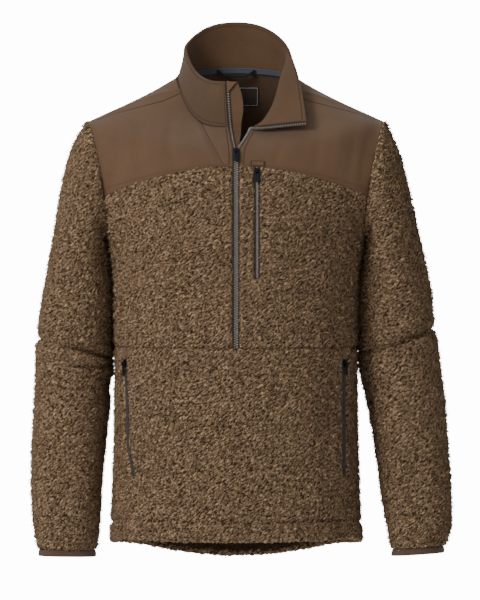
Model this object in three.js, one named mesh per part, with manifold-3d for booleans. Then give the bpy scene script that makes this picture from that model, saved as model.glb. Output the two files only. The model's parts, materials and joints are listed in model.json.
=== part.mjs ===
// Half-zip pullover of deep-pile fleece with a smooth yoke and collar, filled out as it is worn.
// Millimetres. +X is the wearer's left, -Y the front and +Z up. The origin is the middle of the
// neck at shoulder height, where the wearer's shoulders and neck hold the garment up.
//
// Every cloth piece is a wall cut from a grid of points. The grids follow the backing of the cloth:
// the pile stands outside it and a thin layer lies inside it. Neighbouring pieces share the points
// of their seam, and each is drawn back by half of SEAM_GAP.

import * as THREE from 'three';
import { mergeVertices } from 'three/addons/utils/BufferGeometryUtils.js';
import Module from 'manifold-3d';

const wasm = await Module();
wasm.setup();

// Cloth thicknesses, measured from the backing
const PILE_HEIGHT = 4.5;
const PILE_AT_SEAM = 3;
const PILE_AT_STITCHES = 2.4;
const BACKING_DEPTH = 1.5;
const HEM_TURN_DEPTH = 4;
const WOVEN_OUT = 1;
const WOVEN_IN = 1;
const LAYER_SPLIT = 0.18;
const COLLAR_LAYER = 1.9;
const BINDING_OUT = 2;
const BINDING_IN = 1.6;
const TAPE_OUT = 0.9;
const TAPE_IN = 0.9;
const SEAM_GAP = 0.4;

// Body
const CHEST_SEAM_Z = -416;
const CHEST_ZIP_END_Z = -309;
const POCKET_TOP_Z = -434;
const POCKET_END_Z = -617;
const HEM_Z = -720;
const HEM_STITCH_Z = -691;
const ARMPIT_X = 190;
const ARMPIT_Z = -251;
const TIP_X = 226;
const TIP_Y = -8;
const TIP_Z = -67;
const BODY_SQUARENESS = 2.4;
const ARMHOLE_FRONT_REACH = 70;
const ARMHOLE_BACK_REACH = 78;
const ARMHOLE_STEPS = 12;
const YOKE_STEP = 5;
const BACK_INTERVALS = 18;

// Zips
const TAPE_HALF_WIDTH = 5.6;
const TAPE_WIDTH = 5.5;
const POCKET_SLOT = 7;
const CHEST_SLOT_INNER_X = 28;
const CHEST_SLOT_OUTER_X = 37;
const TRIM_LIFT = 0.35;
const PATCH_THICKNESS = 1.1;
const GARAGE_OUT = 3.4;
const GARAGE_INSET = 2.6;
const GARAGE_FOOT_WIDTH = 5;
const SLIDER_LENGTH = 11;
const SLIDER_SHOULDER = 2.5;
const SLIDER_TAIL_SHARE = 0.72;
const SLIDER_NOSE_SHARE = 0.8;
const SLIDER_BODY = 3;
const BRIDGE_WIDTH = 2.2;
const BRIDGE_LEG = 1.5;
const BRIDGE_TOP = 1;
const BRIDGE_SUNK = 0.5;
const WINDOW_HALF = 1.5;
const PULL_BAR = 1.3;
const PULL_SLOT_WIDTH = 3;
const PULL_SLOT_LENGTH = 4.3;
const PULL_TOP_SHARE = 0.86;
const PULL_WAIST_SHARE = 0.3;
const PULL_CORNER = 1.5;

// Neck and collar
const NECK_X = 92;
const NECK_Y = 72;
const COLLAR_SHARES = [0, 0.1, 0.27, 0.43, 0.58, 0.78, 1];
const ROLL_SOFTNESS = 0.14;
const NECK_TAPE_ENDS = { first: 8, last: 31 };
const LOOP_WIDTH = 58;
const LOOP_SAG = 11;
const LOOP_CORD = { width: 3.2, thickness: 2 };
const LOOP_RISE = 5;
const LOOP_CLEAR = 1;
const LOOP_TURN = { inset: 5, share: 0.7 };
const LOOP_STEPS = 14;

// Sections of the body, from the hem up: heights at the side, the sag below them of the front and
// back edges, and half the width
const BODY_SECTIONS = [
  { sideZ: HEM_Z, frontDrop: 5, backDrop: 33, halfWidth: 191.5 },
  { sideZ: -650, frontDrop: 4, backDrop: 20, halfWidth: 187.5 },
  { sideZ: -560, frontDrop: 2, backDrop: 8, halfWidth: 184.5 },
  { sideZ: CHEST_SEAM_Z, frontDrop: 0, backDrop: 0, halfWidth: 183 },
  { sideZ: -330, frontDrop: 0, backDrop: 0, halfWidth: 183.5 },
  { sideZ: ARMPIT_Z, frontDrop: 0, backDrop: 0, halfWidth: ARMPIT_X },
];
const BODY_LEVELS = [
  HEM_Z, -706, HEM_STITCH_Z, -660, POCKET_END_Z, -570, -520, -475, POCKET_TOP_Z, CHEST_SEAM_Z,
  -385, -350, CHEST_ZIP_END_Z, -280, ARMPIT_Z,
];

// Side view: how far the front and the back stand from the middle at each height
const FRONT_PROFILE = [
  { z: -760, depth: 149 },
  { z: -560, depth: 145 },
  { z: -416, depth: 143 },
  { z: -300, depth: 143 },
  { z: -212, depth: 140 },
  { z: -165, depth: 132 },
  { z: -136, depth: 121 },
  { z: -112, depth: 107 },
  { z: -94, depth: 91 },
  { z: -76, depth: NECK_Y },
];
const BACK_PROFILE = [
  { z: -760, depth: 141 },
  { z: -560, depth: 134 },
  { z: -416, depth: 130 },
  { z: -300, depth: 133 },
  { z: -200, depth: 135 },
  { z: -124, depth: 131 },
  { z: -66, depth: 117 },
  { z: -29, depth: 98 },
  { z: 8, depth: NECK_Y },
];

// Armhole seam in the front view, and the heights of the front and back middles on its levels,
// which fan out from the armpit to the shoulder tip
const ARMHOLE_SEAM = [
  { z: ARMPIT_Z, x: ARMPIT_X },
  { z: -208, x: 200 },
  { z: -180, x: 205 },
  { z: -146, x: 209 },
  { z: -108, x: 216 },
  { z: TIP_Z, x: TIP_X },
];
const ARMHOLE_LEVELS = [
  { step: 1, frontZ: -233, backZ: -240 },
  { step: 2, frontZ: -213, backZ: -226 },
  { step: 3, frontZ: -190, backZ: -211 },
  { step: 4, frontZ: -163, backZ: -195 },
  { step: YOKE_STEP, frontZ: -136, backZ: -178 },
  { step: 6, frontZ: -131, backZ: -160 },
  { step: 7, frontZ: -127, backZ: -142 },
  { step: 8, frontZ: -123.5, backZ: -125 },
  { step: 9, frontZ: -120.5, backZ: -108 },
  { step: 10, frontZ: -117.5, backZ: -93 },
  { step: 11, frontZ: -114.5, backZ: -79 },
];

// Rings from the shoulder tip in to the neck seam. bow sharpens the dip of the front, seamTurn is
// how far the shoulder seam lies forward, and the zip's two edges part above the slider.
const SHOULDER_RINGS = [
  { sideZ: TIP_Z, frontZ: -112, backZ: -66, halfWidth: TIP_X, middleY: TIP_Y, square: 2.4,
    bow: 2, seamTurn: 0, zipLeft: 5.6, zipRight: 5.6 },
  { sideZ: -49, frontZ: -103, backZ: -48, halfWidth: 189, middleY: -5, square: 2.3,
    bow: 2.3, seamTurn: 0.12, zipLeft: 10.5, zipRight: 7 },
  { sideZ: -32, frontZ: -94, backZ: -29, halfWidth: 153, middleY: 1, square: 2.2,
    bow: 2.8, seamTurn: 0.2, zipLeft: 16.5, zipRight: 9 },
  { sideZ: -15, frontZ: -85, backZ: -10, halfWidth: 120, middleY: 8, square: 2.1,
    bow: 3.5, seamTurn: 0.28, zipLeft: 22, zipRight: 10.5 },
  { sideZ: 0, frontZ: -76, backZ: 8, halfWidth: NECK_X, middleY: 15, square: 2,
    bow: 4.5, seamTurn: 0.36, zipLeft: 27, zipRight: 12 },
];

// Middle lines of the hand pocket zips
const POCKET_LINES = [
  { z: -760, left: 166, right: 153 },
  { z: POCKET_END_Z, left: 166, right: 157 },
  { z: -570, left: 166, right: 164.5 },
  { z: -500, left: 166, right: 166.5 },
  { z: CHEST_SEAM_Z, left: 166, right: 171 },
];

// Columns of the front grid that follow an edge
const COLUMN = {
  sideLeft: 0, pocketOuterLeft: 3, pocketInnerLeft: 4, chestZipOuter: 9, chestZipInner: 10,
  zipEdgeLeft: 11, teethLeft: 12, teethRight: 13, zipEdgeRight: 14,
  pocketInnerRight: 20, pocketOuterRight: 21, sideRight: 24,
};

// Sections of each sleeve from the armhole to the cuff: the outermost and innermost points of the
// front view, half the depth and the middle of the depth. Folds are rows that are drawn in.
const SLEEVE_RIGHT = [
  { outX: 237, outZ: -84, inX: 196, inZ: -244.5, depth: 79, midY: -5 },
  { outX: 251, outZ: -112, inX: 202, inZ: -245.5, depth: 78.5, midY: -2 },
  { outX: 261, outZ: -145, inX: 205, inZ: -252, depth: 78, midY: 1 },
  { outX: 269.5, outZ: -190, inX: 203.5, inZ: -263, depth: 77, midY: 4 },
  { outX: 278, outZ: -240, inX: 199.5, inZ: -285, depth: 75.5, midY: 8 },
  { outX: 287, outZ: -290, inX: 196, inZ: -314, depth: 74, midY: 11 },
  { outX: 295, outZ: -335, inX: 194.5, inZ: -350, depth: 73, midY: 13 },
  { outX: 300.5, outZ: -370, inX: 194.5, inZ: -386, depth: 71.5, midY: 14 },
  { outX: 303.5, outZ: -392, inX: 194.5, inZ: -414, depth: 70, midY: 14 },
  { outX: 301, outZ: -405, inX: 193.5, inZ: -434, depth: 65, midY: 14 },
  { outX: 306, outZ: -417, inX: 196, inZ: -445, depth: 69, midY: 13.5 },
  { outX: 306.5, outZ: -438, inX: 194, inZ: -455, depth: 66.5, midY: 13 },
  { outX: 307, outZ: -460, inX: 199.5, inZ: -469, depth: 68, midY: 12 },
  { outX: 309, outZ: -508, inX: 200, inZ: -508, depth: 65, midY: 9 },
  { outX: 311.5, outZ: -556, inX: 204.5, inZ: -553, depth: 62, midY: 4 },
  { outX: 313.5, outZ: -612, inX: 209.5, inZ: -606, depth: 58, midY: -3 },
  { outX: 312, outZ: -665, inX: 213, inZ: -655, depth: 54, midY: -9 },
  { outX: 308.5, outZ: -700, inX: 215.5, inZ: -698, depth: 49, midY: -13 },
  { outX: 303.5, outZ: -729, inX: 219.5, inZ: -730, depth: 42, midY: -15 },
];
const SLEEVE_LEFT = [
  { outX: 235, outZ: -84, inX: 196, inZ: -244.5, depth: 79, midY: -5 },
  { outX: 248, outZ: -115, inX: 202, inZ: -245.5, depth: 78.5, midY: -2 },
  { outX: 258.5, outZ: -152, inX: 205, inZ: -252, depth: 78, midY: 2 },
  { outX: 269, outZ: -195, inX: 203.5, inZ: -263, depth: 77, midY: 6 },
  { outX: 280, outZ: -246, inX: 199.5, inZ: -285, depth: 75.5, midY: 11 },
  { outX: 290, outZ: -288, inX: 196, inZ: -314, depth: 74, midY: 15 },
  { outX: 298.5, outZ: -330, inX: 194.5, inZ: -348, depth: 73, midY: 18 },
  { outX: 301, outZ: -360, inX: 194.5, inZ: -380, depth: 71.5, midY: 19 },
  { outX: 303, outZ: -377, inX: 194.5, inZ: -406, depth: 70, midY: 19 },
  { outX: 301, outZ: -389, inX: 194, inZ: -425, depth: 65, midY: 19 },
  { outX: 307.5, outZ: -402, inX: 195, inZ: -436, depth: 69.5, midY: 18.5 },
  { outX: 310, outZ: -424, inX: 194.5, inZ: -446, depth: 66.5, midY: 18 },
  { outX: 313, outZ: -446, inX: 197.5, inZ: -462, depth: 68, midY: 17 },
  { outX: 319.5, outZ: -495, inX: 205, inZ: -492, depth: 65, midY: 14 },
  { outX: 323.5, outZ: -552, inX: 214.5, inZ: -540, depth: 62, midY: 9 },
  { outX: 327, outZ: -607, inX: 223, inZ: -597, depth: 58, midY: 2 },
  { outX: 329.5, outZ: -659, inX: 231, inZ: -655, depth: 54, midY: -4 },
  { outX: 329, outZ: -697, inX: 238.5, inZ: -697, depth: 49, midY: -8 },
  { outX: 320.5, outZ: -724, inX: 244, inZ: -729, depth: 42, midY: -10 },
];
const ELBOW_ROW = 10;
const SLEEVE_SQUARENESS = 2.15;
const LOOP_FADE = [1, 0.6, 0.25, 0.08];
const CUFF_HEIGHT = 11.5;
const CUFF_FLARE = 1.5;

// Stand of the collar, and its turned wearer's-left front by the angle round the neck, 0 at the
// side and 90 at the front: top edge, roll line, and the share of the height below the roll
const COLLAR_STAND = {
  frontTopZ: -5, sideTopZ: 48, backTopZ: 87, frontBow: 5, backBow: 3,
  narrowing: 0.87, frontLean: 0.98, backLean: 0.84, edgeShift: -8, bulge: 3,
};
const COLLAR_TURN = [
  { angle: -50, topX: 50, topY: 54, topZ: 77, rollX: 54, rollY: 61, rollZ: 42, below: 0.5 },
  { angle: -28, topX: 75, topY: 42, topZ: 58, rollX: 79, rollY: 46, rollZ: 33, below: 0.5 },
  { angle: -9, topX: 88, topY: 12, topZ: 31, rollX: 77, rollY: 15, rollZ: 33, below: 0.55 },
  { angle: 12, topX: 97, topY: -17, topZ: 2, rollX: 68, rollY: -9, rollZ: 10, below: 0.45 },
  { angle: 30, topX: 102, topY: -44, topZ: -22, rollX: 62, rollY: -38, rollZ: -13, below: 0.42 },
  { angle: 50, topX: 106, topY: -70, topZ: -46, rollX: 52, rollY: -63, rollZ: -45, below: 0.32 },
  { angle: 62, topX: 108, topY: -84, topZ: -60, rollX: 38, rollY: -77, rollZ: -68, below: 0.22 },
  { angle: 70, topX: 108.5, topY: -92, topZ: -69, rollX: 31, rollY: -83, rollZ: -77, below: 0.18 },
];

// Width of the guard behind the zip, from the front opening's foot up to the collar's top edge
const GUARD_WIDTHS = [8, 12, 15, 18, 20, 21, 24, 26, 26, 24, 19];

// The patch over the chest zip, in levels above the yoke seam and columns past the zip's edges.
// Then each slider with its zip: where it parks in the front grid, its width, and its pull's size
const CHEST_GARAGE_LEVELS = [0.12, 1, 1.95];
const CHEST_GARAGE_REACH = 0.24;
const SLIDERS = [
  { name: 'chest', suffix: '', levelsBelow: 0.28, width: 7.2, pullWidth: 6, pullLength: 18 },
  { name: 'pocket', suffix: '_right', levelsBelow: 0.17, width: 5.6, pullWidth: 5.4, pullLength: 18 },
  { name: 'pocket', suffix: '_left', levelsBelow: 0.17, width: 5.6, pullWidth: 5.4, pullLength: 18 },
];
const FRONT_SLIDER = { width: 9, pullWidth: 8, pullLength: 20 };

const COLOURS = {
  fleece: 0x75593f, woven: 0x6b523b, collar: 0x5f4834, tape: 0x5a4a40, hardware: 0x1a2230,
  neckTape: 0x3a4050, binding: 0x5a4433,
};

// Table reading: a smooth curve through the rows, for each named column
function readTable(rows, key, at) {
  const last = rows.length - 1;
  let index = 0;
  while (index < last - 1 && rows[index + 1][key] < at) {
    index += 1;
  }
  const low = rows[index];
  const high = rows[index + 1];
  const span = high[key] - low[key];
  const share = Math.min(Math.max((at - low[key]) / span, 0), 1);
  const slope = (row, column) => {
    const before = rows[Math.max(row - 1, 0)];
    const after = rows[Math.min(row + 1, last)];
    return (after[column] - before[column]) / (after[key] - before[key]);
  };
  const result = {};
  for (const column of Object.keys(low)) {
    const rise = high[column] - low[column];
    const startSlope = slope(index, column) * span;
    const endSlope = slope(index + 1, column) * span;
    const bend = startSlope - rise;
    const unbend = rise - endSlope;
    const sway = share * (1 - share) * (bend * (1 - share) + unbend * share);
    result[column] = low[column] + rise * share + sway;
  }
  return result;
}

function signedPower(value, power) {
  return Math.sign(value) * Math.abs(value) ** power;
}

function mix(from, to, share) {
  return from + (to - from) * share;
}

// One half of a level, front or back: a superellipse from the armhole point to the other one
function levelHalf(level, depth, reach) {
  const share = (reach / depth) ** level.square;
  return {
    depth,
    halfWidth: level.sideX / (1 - share) ** (1 / level.square),
    start: Math.asin(Math.sqrt(share)),
  };
}

function makeLevel(values, frontReach, backReach) {
  const level = { square: BODY_SQUARENESS, bow: 2, seamTurn: 0, zipLeft: TAPE_HALF_WIDTH,
    zipRight: TAPE_HALF_WIDTH, ...values };
  const frontDepth = readTable(FRONT_PROFILE, 'z', level.frontZ).depth + level.middleY;
  const backDepth = readTable(BACK_PROFILE, 'z', level.backZ).depth - level.middleY;
  level.front = levelHalf(level, frontDepth, frontReach);
  level.back = levelHalf(level, backDepth, backReach);
  return level;
}

function torsoLevels() {
  const levels = [];
  for (const sideZ of BODY_LEVELS) {
    const section = readTable(BODY_SECTIONS, 'sideZ', sideZ);
    levels.push(makeLevel({ sideZ, sideX: section.halfWidth, middleY: 0,
      frontZ: sideZ - section.frontDrop, backZ: sideZ - section.backDrop }, 0, 0));
  }
  for (const row of ARMHOLE_LEVELS) {
    const turn = Math.PI * (1 - row.step / ARMHOLE_STEPS);
    const sideZ = (TIP_Z + ARMPIT_Z) / 2 + (TIP_Z - ARMPIT_Z) / 2 * Math.cos(turn);
    const middleY = mix(0, TIP_Y, row.step / ARMHOLE_STEPS);
    levels.push(makeLevel({ sideZ, sideX: readTable(ARMHOLE_SEAM, 'z', sideZ).x, middleY,
      frontZ: row.frontZ, backZ: row.backZ, open: true },
    ARMHOLE_FRONT_REACH * Math.sin(turn), ARMHOLE_BACK_REACH * Math.sin(turn)));
  }
  for (const ring of SHOULDER_RINGS) {
    levels.push(makeLevel({ ...ring, sideX: ring.halfWidth }, 0, 0));
  }
  return levels;
}

const LEVELS = torsoLevels();
const ARMPIT_LEVEL = BODY_LEVELS.length - 1;
const YOKE_LEVEL = ARMPIT_LEVEL + YOKE_STEP;
const TIP_LEVEL = ARMPIT_LEVEL + ARMHOLE_STEPS;
const NECK_LEVEL = LEVELS.length - 1;
const SEAM_LEVEL = BODY_LEVELS.indexOf(CHEST_SEAM_Z);
const POCKET_TOP_LEVEL = BODY_LEVELS.indexOf(POCKET_TOP_Z);
const POCKET_END_LEVEL = BODY_LEVELS.indexOf(POCKET_END_Z);
const CHEST_ZIP_END_LEVEL = BODY_LEVELS.indexOf(CHEST_ZIP_END_Z);
const HEM_STITCH_LEVEL = BODY_LEVELS.indexOf(HEM_STITCH_Z);

function angleAtX(level, x) {
  const side = Math.acos((Math.abs(x) / level.front.halfWidth) ** (level.square / 2));
  return x < 0 ? Math.PI - side : side;
}

// The angle of each front column on each level. Columns at an edge follow it, and keep their share
// of the way from the side to the zip above it. The others are spread evenly between them.
function frontColumns() {
  const carried = {};
  return LEVELS.map((level, index) => {
    const start = level.front.start + level.seamTurn;
    const leftEdge = angleAtX(level, level.zipLeft);
    const rightEdge = Math.PI - angleAtX(level, -level.zipRight);
    const follow = (column, x, pinned) => {
      const leftSide = x > 0;
      const edge = leftSide ? leftEdge : rightEdge;
      if (pinned) {
        const angle = angleAtX(level, x);
        const fromSide = leftSide ? angle : Math.PI - angle;
        carried[column] = (fromSide - start) / (edge - start);
      }
      const fromSide = mix(start, edge, carried[column]);
      return leftSide ? fromSide : Math.PI - fromSide;
    };
    const pocket = readTable(POCKET_LINES, 'z', Math.min(level.frontZ, CHEST_SEAM_Z));
    const onPocket = index <= SEAM_LEVEL;
    const onChestZip = index <= YOKE_LEVEL;
    const half = POCKET_SLOT / 2;
    const pins = [
      [COLUMN.sideLeft, start],
      [COLUMN.pocketOuterLeft, follow('outerLeft', pocket.left + half, onPocket)],
      [COLUMN.pocketInnerLeft, follow('innerLeft', pocket.left - half, onPocket)],
      [COLUMN.chestZipOuter, follow('chestOuter', CHEST_SLOT_OUTER_X, onChestZip)],
      [COLUMN.chestZipInner, follow('chestInner', CHEST_SLOT_INNER_X, onChestZip)],
      [COLUMN.zipEdgeLeft, leftEdge],
      [COLUMN.teethLeft, angleAtX(level, level.zipLeft - TAPE_WIDTH)],
      [COLUMN.teethRight, angleAtX(level, TAPE_WIDTH - level.zipRight)],
      [COLUMN.zipEdgeRight, Math.PI - rightEdge],
      [COLUMN.pocketInnerRight, follow('innerRight', half - pocket.right, onPocket)],
      [COLUMN.pocketOuterRight, follow('outerRight', -half - pocket.right, onPocket)],
      [COLUMN.sideRight, Math.PI - start],
    ];
    const angles = [];
    for (let pin = 0; pin < pins.length - 1; pin += 1) {
      const [column, angle] = pins[pin];
      const [nextColumn, nextAngle] = pins[pin + 1];
      for (let step = column; step < nextColumn; step += 1) {
        angles.push(mix(angle, nextAngle, (step - column) / (nextColumn - column)));
      }
    }
    angles.push(Math.PI - start);
    return angles;
  });
}

// A point of a level: angles from 0 to PI pass over the front from the left side to the right
// one, and those from PI on over the back
function levelPoint(level, angle) {
  const atFront = Math.sin(angle) > -1e-9;
  const half = atFront ? level.front : level.back;
  const x = half.halfWidth * signedPower(Math.cos(angle), 2 / level.square);
  const reach = half.depth * Math.abs(Math.sin(angle)) ** (2 / level.square);
  const share = Math.min(Math.abs(x) / level.sideX, 1);
  return new THREE.Vector3(x, level.middleY + (atFront ? -reach : reach),
    mix(atFront ? level.frontZ : level.backZ, level.sideZ, share ** (atFront ? level.bow : 2)));
}

// The body's two grids of points. The front runs from the wearer's left side to the right one,
// the back from the right side to the left one.
function torsoGrids() {
  const angles = frontColumns();
  const front = LEVELS.map((level, index) => angles[index].map(
    (angle) => levelPoint(level, angle)));
  const back = LEVELS.map((level, index) => {
    const first = Math.PI + level.back.start - level.seamTurn;
    const last = 2 * Math.PI - level.back.start + level.seamTurn;
    const row = [];
    for (let column = 0; column <= BACK_INTERVALS; column += 1) {
      row.push(levelPoint(level, mix(first, last, column / BACK_INTERVALS)));
    }
    if (!level.open) {
      row[0] = front[index].at(-1);
      row[BACK_INTERVALS] = front[index][0];
    }
    return row;
  });
  return { front, back };
}

const TORSO = torsoGrids();

function crossNormal(up, across) {
  return new THREE.Vector3().crossVectors(up, across).normalize();
}

function gridNormals(own, other) {
  const lastColumn = own[0].length - 1;
  return own.map((row, index) => row.map((point, column) => {
    const closed = !LEVELS[index].open;
    const atSide = column === 0 || column === lastColumn;
    const before = column > 0 ? row[column - 1] : closed ? other[index].at(-2) : point;
    const after = column < lastColumn ? row[column + 1] : closed ? other[index][1] : point;
    let below = Math.max(index - 1, 0);
    let above = Math.min(index + 1, NECK_LEVEL);
    if (atSide && index === ARMPIT_LEVEL) {
      above = index;
    }
    if (atSide && index === TIP_LEVEL) {
      below = index;
    }
    const up = own[above][column].clone().sub(own[below][column]);
    return crossNormal(up, after.clone().sub(before));
  }));
}

const FRONT = { points: TORSO.front, normals: gridNormals(TORSO.front, TORSO.back) };
const BACK = { points: TORSO.back, normals: gridNormals(TORSO.back, TORSO.front) };
LEVELS.forEach((level, index) => {
  if (!level.open) {
    BACK.normals[index][0] = FRONT.normals[index].at(-1);
    BACK.normals[index][BACK_INTERVALS] = FRONT.normals[index][0];
  }
});

// The end faces of two neighbours are split along the same diagonal, so that they run parallel
function comesFirst(one, other) {
  return [2, 0, 1].map((axis) => Math.sign(one.getComponent(axis) - other.getComponent(axis)))
    .find((sign) => sign !== 0) > 0;
}

// Two pieces that bend at their seam meet on the middle plane between them
function joinNormals(one, other) {
  one.forEach((normal, index) => {
    normal.add(other[index]).normalize();
    other[index].copy(normal);
  });
}

// A wall over the cells of a grid that a piece covers. outer and inner give the thickness at a
// point on each side of the grid. Edge points are drawn back by half the seam gap. folds says which
// cells are split along their other diagonal.
function wallGeometry({ grid, covers, outer, inner, wraps = false, folds = () => false }) {
  const rows = grid.points.length;
  const columns = grid.points[0].length;
  const cellColumns = wraps ? columns : columns - 1;
  const keyOf = (row, column) => row * columns + (column % columns);
  const cells = [];
  for (let row = 0; row < rows - 1; row += 1) {
    for (let column = 0; column < cellColumns; column += 1) {
      if (covers(row, column)) {
        const cell = [keyOf(row, column), keyOf(row + 1, column),
          keyOf(row + 1, column + 1), keyOf(row, column + 1)];
        cells.push(folds(row, column) ? [...cell.slice(1), cell[0]] : cell);
      }
    }
  }
  const pointAt = (key) => grid.points[Math.floor(key / columns)][key % columns];
  const normalAt = (key) => grid.normals[Math.floor(key / columns)][key % columns];
  const edges = new Map();
  for (const cell of cells) {
    cell.forEach((from, index) => {
      const to = cell[(index + 1) % 4];
      if (!edges.delete(`${to} ${from}`)) {
        edges.set(`${from} ${to}`, [from, to]);
      }
    });
  }
  const pulls = new Map();
  for (const [from, to] of edges.values()) {
    const along = pointAt(to).clone().sub(pointAt(from)).normalize();
    const pull = new THREE.Vector3().crossVectors(normalAt(from), along).normalize();
    for (const key of [from, to]) {
      pulls.set(key, [...(pulls.get(key) ?? []), pull]);
    }
  }
  const positions = [];
  const numbers = new Map();
  const vertex = (key) => {
    if (!numbers.has(key)) {
      const point = pointAt(key).clone();
      const edgePulls = pulls.get(key);
      if (edgePulls) {
        const [first, second] = edgePulls;
        const miter = Math.max(1 + first.dot(second), 0.6);
        point.addScaledVector(first.clone().add(second), SEAM_GAP / 2 / miter);
      }
      const row = Math.floor(key / columns);
      const column = key % columns;
      const normal = normalAt(key);
      const outside = point.clone().addScaledVector(normal, outer(row, column, !!edgePulls));
      const inside = point.clone().addScaledVector(normal, -inner(row, column, !!edgePulls));
      numbers.set(key, positions.length / 3);
      positions.push(...outside.toArray(), ...inside.toArray());
    }
    return numbers.get(key);
  };
  const triangles = [];
  for (const [a, d, c, b] of cells.map((cell) => cell.map(vertex))) {
    triangles.push(a, d, c, a, c, b);
    triangles.push(a + 1, c + 1, d + 1, a + 1, b + 1, c + 1);
  }
  for (const [from, to] of edges.values()) {
    const p = vertex(from);
    const q = vertex(to);
    if (comesFirst(pointAt(from), pointAt(to))) {
      triangles.push(q, p, q + 1, p, p + 1, q + 1);
    } else {
      triangles.push(q, p, p + 1, q, p + 1, q + 1);
    }
  }
  const geometry = new THREE.BufferGeometry();
  geometry.setAttribute('position', new THREE.Float32BufferAttribute(positions, 3));
  geometry.setIndex(triangles);
  return geometry;
}

const garment = new THREE.Group();

function addMesh(name, geometry, colour, roughness = 0.95, metalness = 0) {
  const material = new THREE.MeshStandardMaterial({ color: colour, roughness, metalness });
  material.flatShading = true;
  const mesh = new THREE.Mesh(geometry, material);
  mesh.name = name;
  garment.add(mesh);
  return mesh;
}

function within(value, low, high) {
  return value >= low && value < high;
}

// Fleece stands lower where it is caught in a seam or by the hem's stitches
function pile(hemmed) {
  return (row, column, onEdge) => {
    if (onEdge) {
      return PILE_AT_SEAM;
    }
    return hemmed && row === HEM_STITCH_LEVEL ? PILE_AT_STITCHES : PILE_HEIGHT;
  };
}

function backing(hemmed) {
  return (row) => (hemmed && row <= HEM_STITCH_LEVEL ? HEM_TURN_DEPTH : BACKING_DEPTH);
}

function addFleece(name, grid, covers, hemmed = false, options = {}) {
  const geometry = wallGeometry({ grid, covers, outer: pile(hemmed), inner: backing(hemmed),
    folds: secondHalf(grid), ...options });
  addMesh(name, geometry, COLOURS.fleece);
}

function addWoven(name, grid, covers) {
  const geometry = wallGeometry({ grid, covers, outer: () => WOVEN_OUT, inner: () => WOVEN_IN,
    folds: secondHalf(grid) });
  addMesh(name, geometry, COLOURS.woven, 0.8);
}

// The cells of the two halves of a panel are split as mirror images of each other
function secondHalf(grid) {
  const middle = (grid.points[0].length - 1) / 2;
  return (row, column) => column >= middle;
}

function addFronts() {
  const inPocket = (row, column) => within(row, POCKET_END_LEVEL, SEAM_LEVEL)
    && (column === COLUMN.pocketOuterLeft || column === COLUMN.pocketInnerRight);
  const inChestZip = (row, column) => within(row, CHEST_ZIP_END_LEVEL, YOKE_LEVEL)
    && column === COLUMN.chestZipOuter;
  addFleece('lower_front', FRONT,
    (row, column) => row < SEAM_LEVEL && !inPocket(row, column), true);
  addFleece('chest_left', FRONT, (row, column) => within(row, SEAM_LEVEL, YOKE_LEVEL)
    && column < COLUMN.zipEdgeLeft && !inChestZip(row, column));
  addFleece('chest_right', FRONT, (row, column) => within(row, SEAM_LEVEL, YOKE_LEVEL)
    && column >= COLUMN.zipEdgeRight);
  addWoven('yoke_front_left', FRONT,
    (row, column) => row >= YOKE_LEVEL && column < COLUMN.zipEdgeLeft);
  addWoven('yoke_front_right', FRONT,
    (row, column) => row >= YOKE_LEVEL && column >= COLUMN.zipEdgeRight);
  addFleece('back_body', BACK, (row) => row < YOKE_LEVEL, true);
  addWoven('yoke_back', BACK, (row) => row >= YOKE_LEVEL);
}

// Sleeve grid: its first ring is the armhole seam, from the shoulder tip down one side to the
// armpit and up the other. side is 1 for the wearer's left and -1 for the right.
function armholeLoop(side) {
  const backColumn = side > 0 ? BACK_INTERVALS : 0;
  const frontColumn = side > 0 ? COLUMN.sideLeft : COLUMN.sideRight;
  const runs = side > 0 ? [[BACK, backColumn], [FRONT, frontColumn]]
    : [[FRONT, frontColumn], [BACK, backColumn]];
  const loop = [];
  for (let level = TIP_LEVEL; level > ARMPIT_LEVEL; level -= 1) {
    const [grid, column] = runs[0];
    loop.push({ point: grid.points[level][column], normal: grid.normals[level][column] });
  }
  for (let level = ARMPIT_LEVEL; level < TIP_LEVEL; level += 1) {
    const [grid, column] = runs[1];
    loop.push({ point: grid.points[level][column], normal: grid.normals[level][column] });
  }
  return loop;
}

function sleeveRing(section, side, count) {
  const points = [];
  for (let index = 0; index < count; index += 1) {
    const turn = 2 * Math.PI * index / count;
    const along = signedPower(Math.cos(turn), 2 / SLEEVE_SQUARENESS);
    const across = signedPower(Math.sin(turn), 2 / SLEEVE_SQUARENESS);
    points.push(new THREE.Vector3(
      side * mix(section.inX, section.outX, (1 + along) / 2),
      section.midY + side * section.depth * across,
      mix(section.inZ, section.outZ, (1 + along) / 2)));
  }
  return points;
}

function sleeveGrid(table, side) {
  const loop = armholeLoop(side);
  const armhole = { outX: TIP_X, outZ: TIP_Z, inX: ARMPIT_X, inZ: ARMPIT_Z,
    depth: (ARMHOLE_FRONT_REACH + ARMHOLE_BACK_REACH) / 2, midY: TIP_Y / 2 };
  const plain = sleeveRing(armhole, side, loop.length);
  const points = [loop.map((entry) => entry.point)];
  table.forEach((section, index) => {
    const fade = LOOP_FADE[index + 1] ?? 0;
    const ring = sleeveRing(section, side, loop.length);
    points.push(ring.map((point, column) => point.addScaledVector(
      loop[column].point.clone().sub(plain[column]), fade)));
  });
  const count = loop.length;
  const normals = points.map((ring, row) => ring.map((point, column) => {
    const above = points[Math.max(row - 1, 0)][column];
    const below = points[Math.min(row + 1, points.length - 1)][column];
    const after = ring[(column + 1) % count];
    const before = ring[(column + count - 1) % count];
    return crossNormal(below.clone().sub(above), after.clone().sub(before));
  }));
  joinNormals(loop.map((entry) => entry.normal), normals[0]);
  return { points, normals };
}

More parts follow.
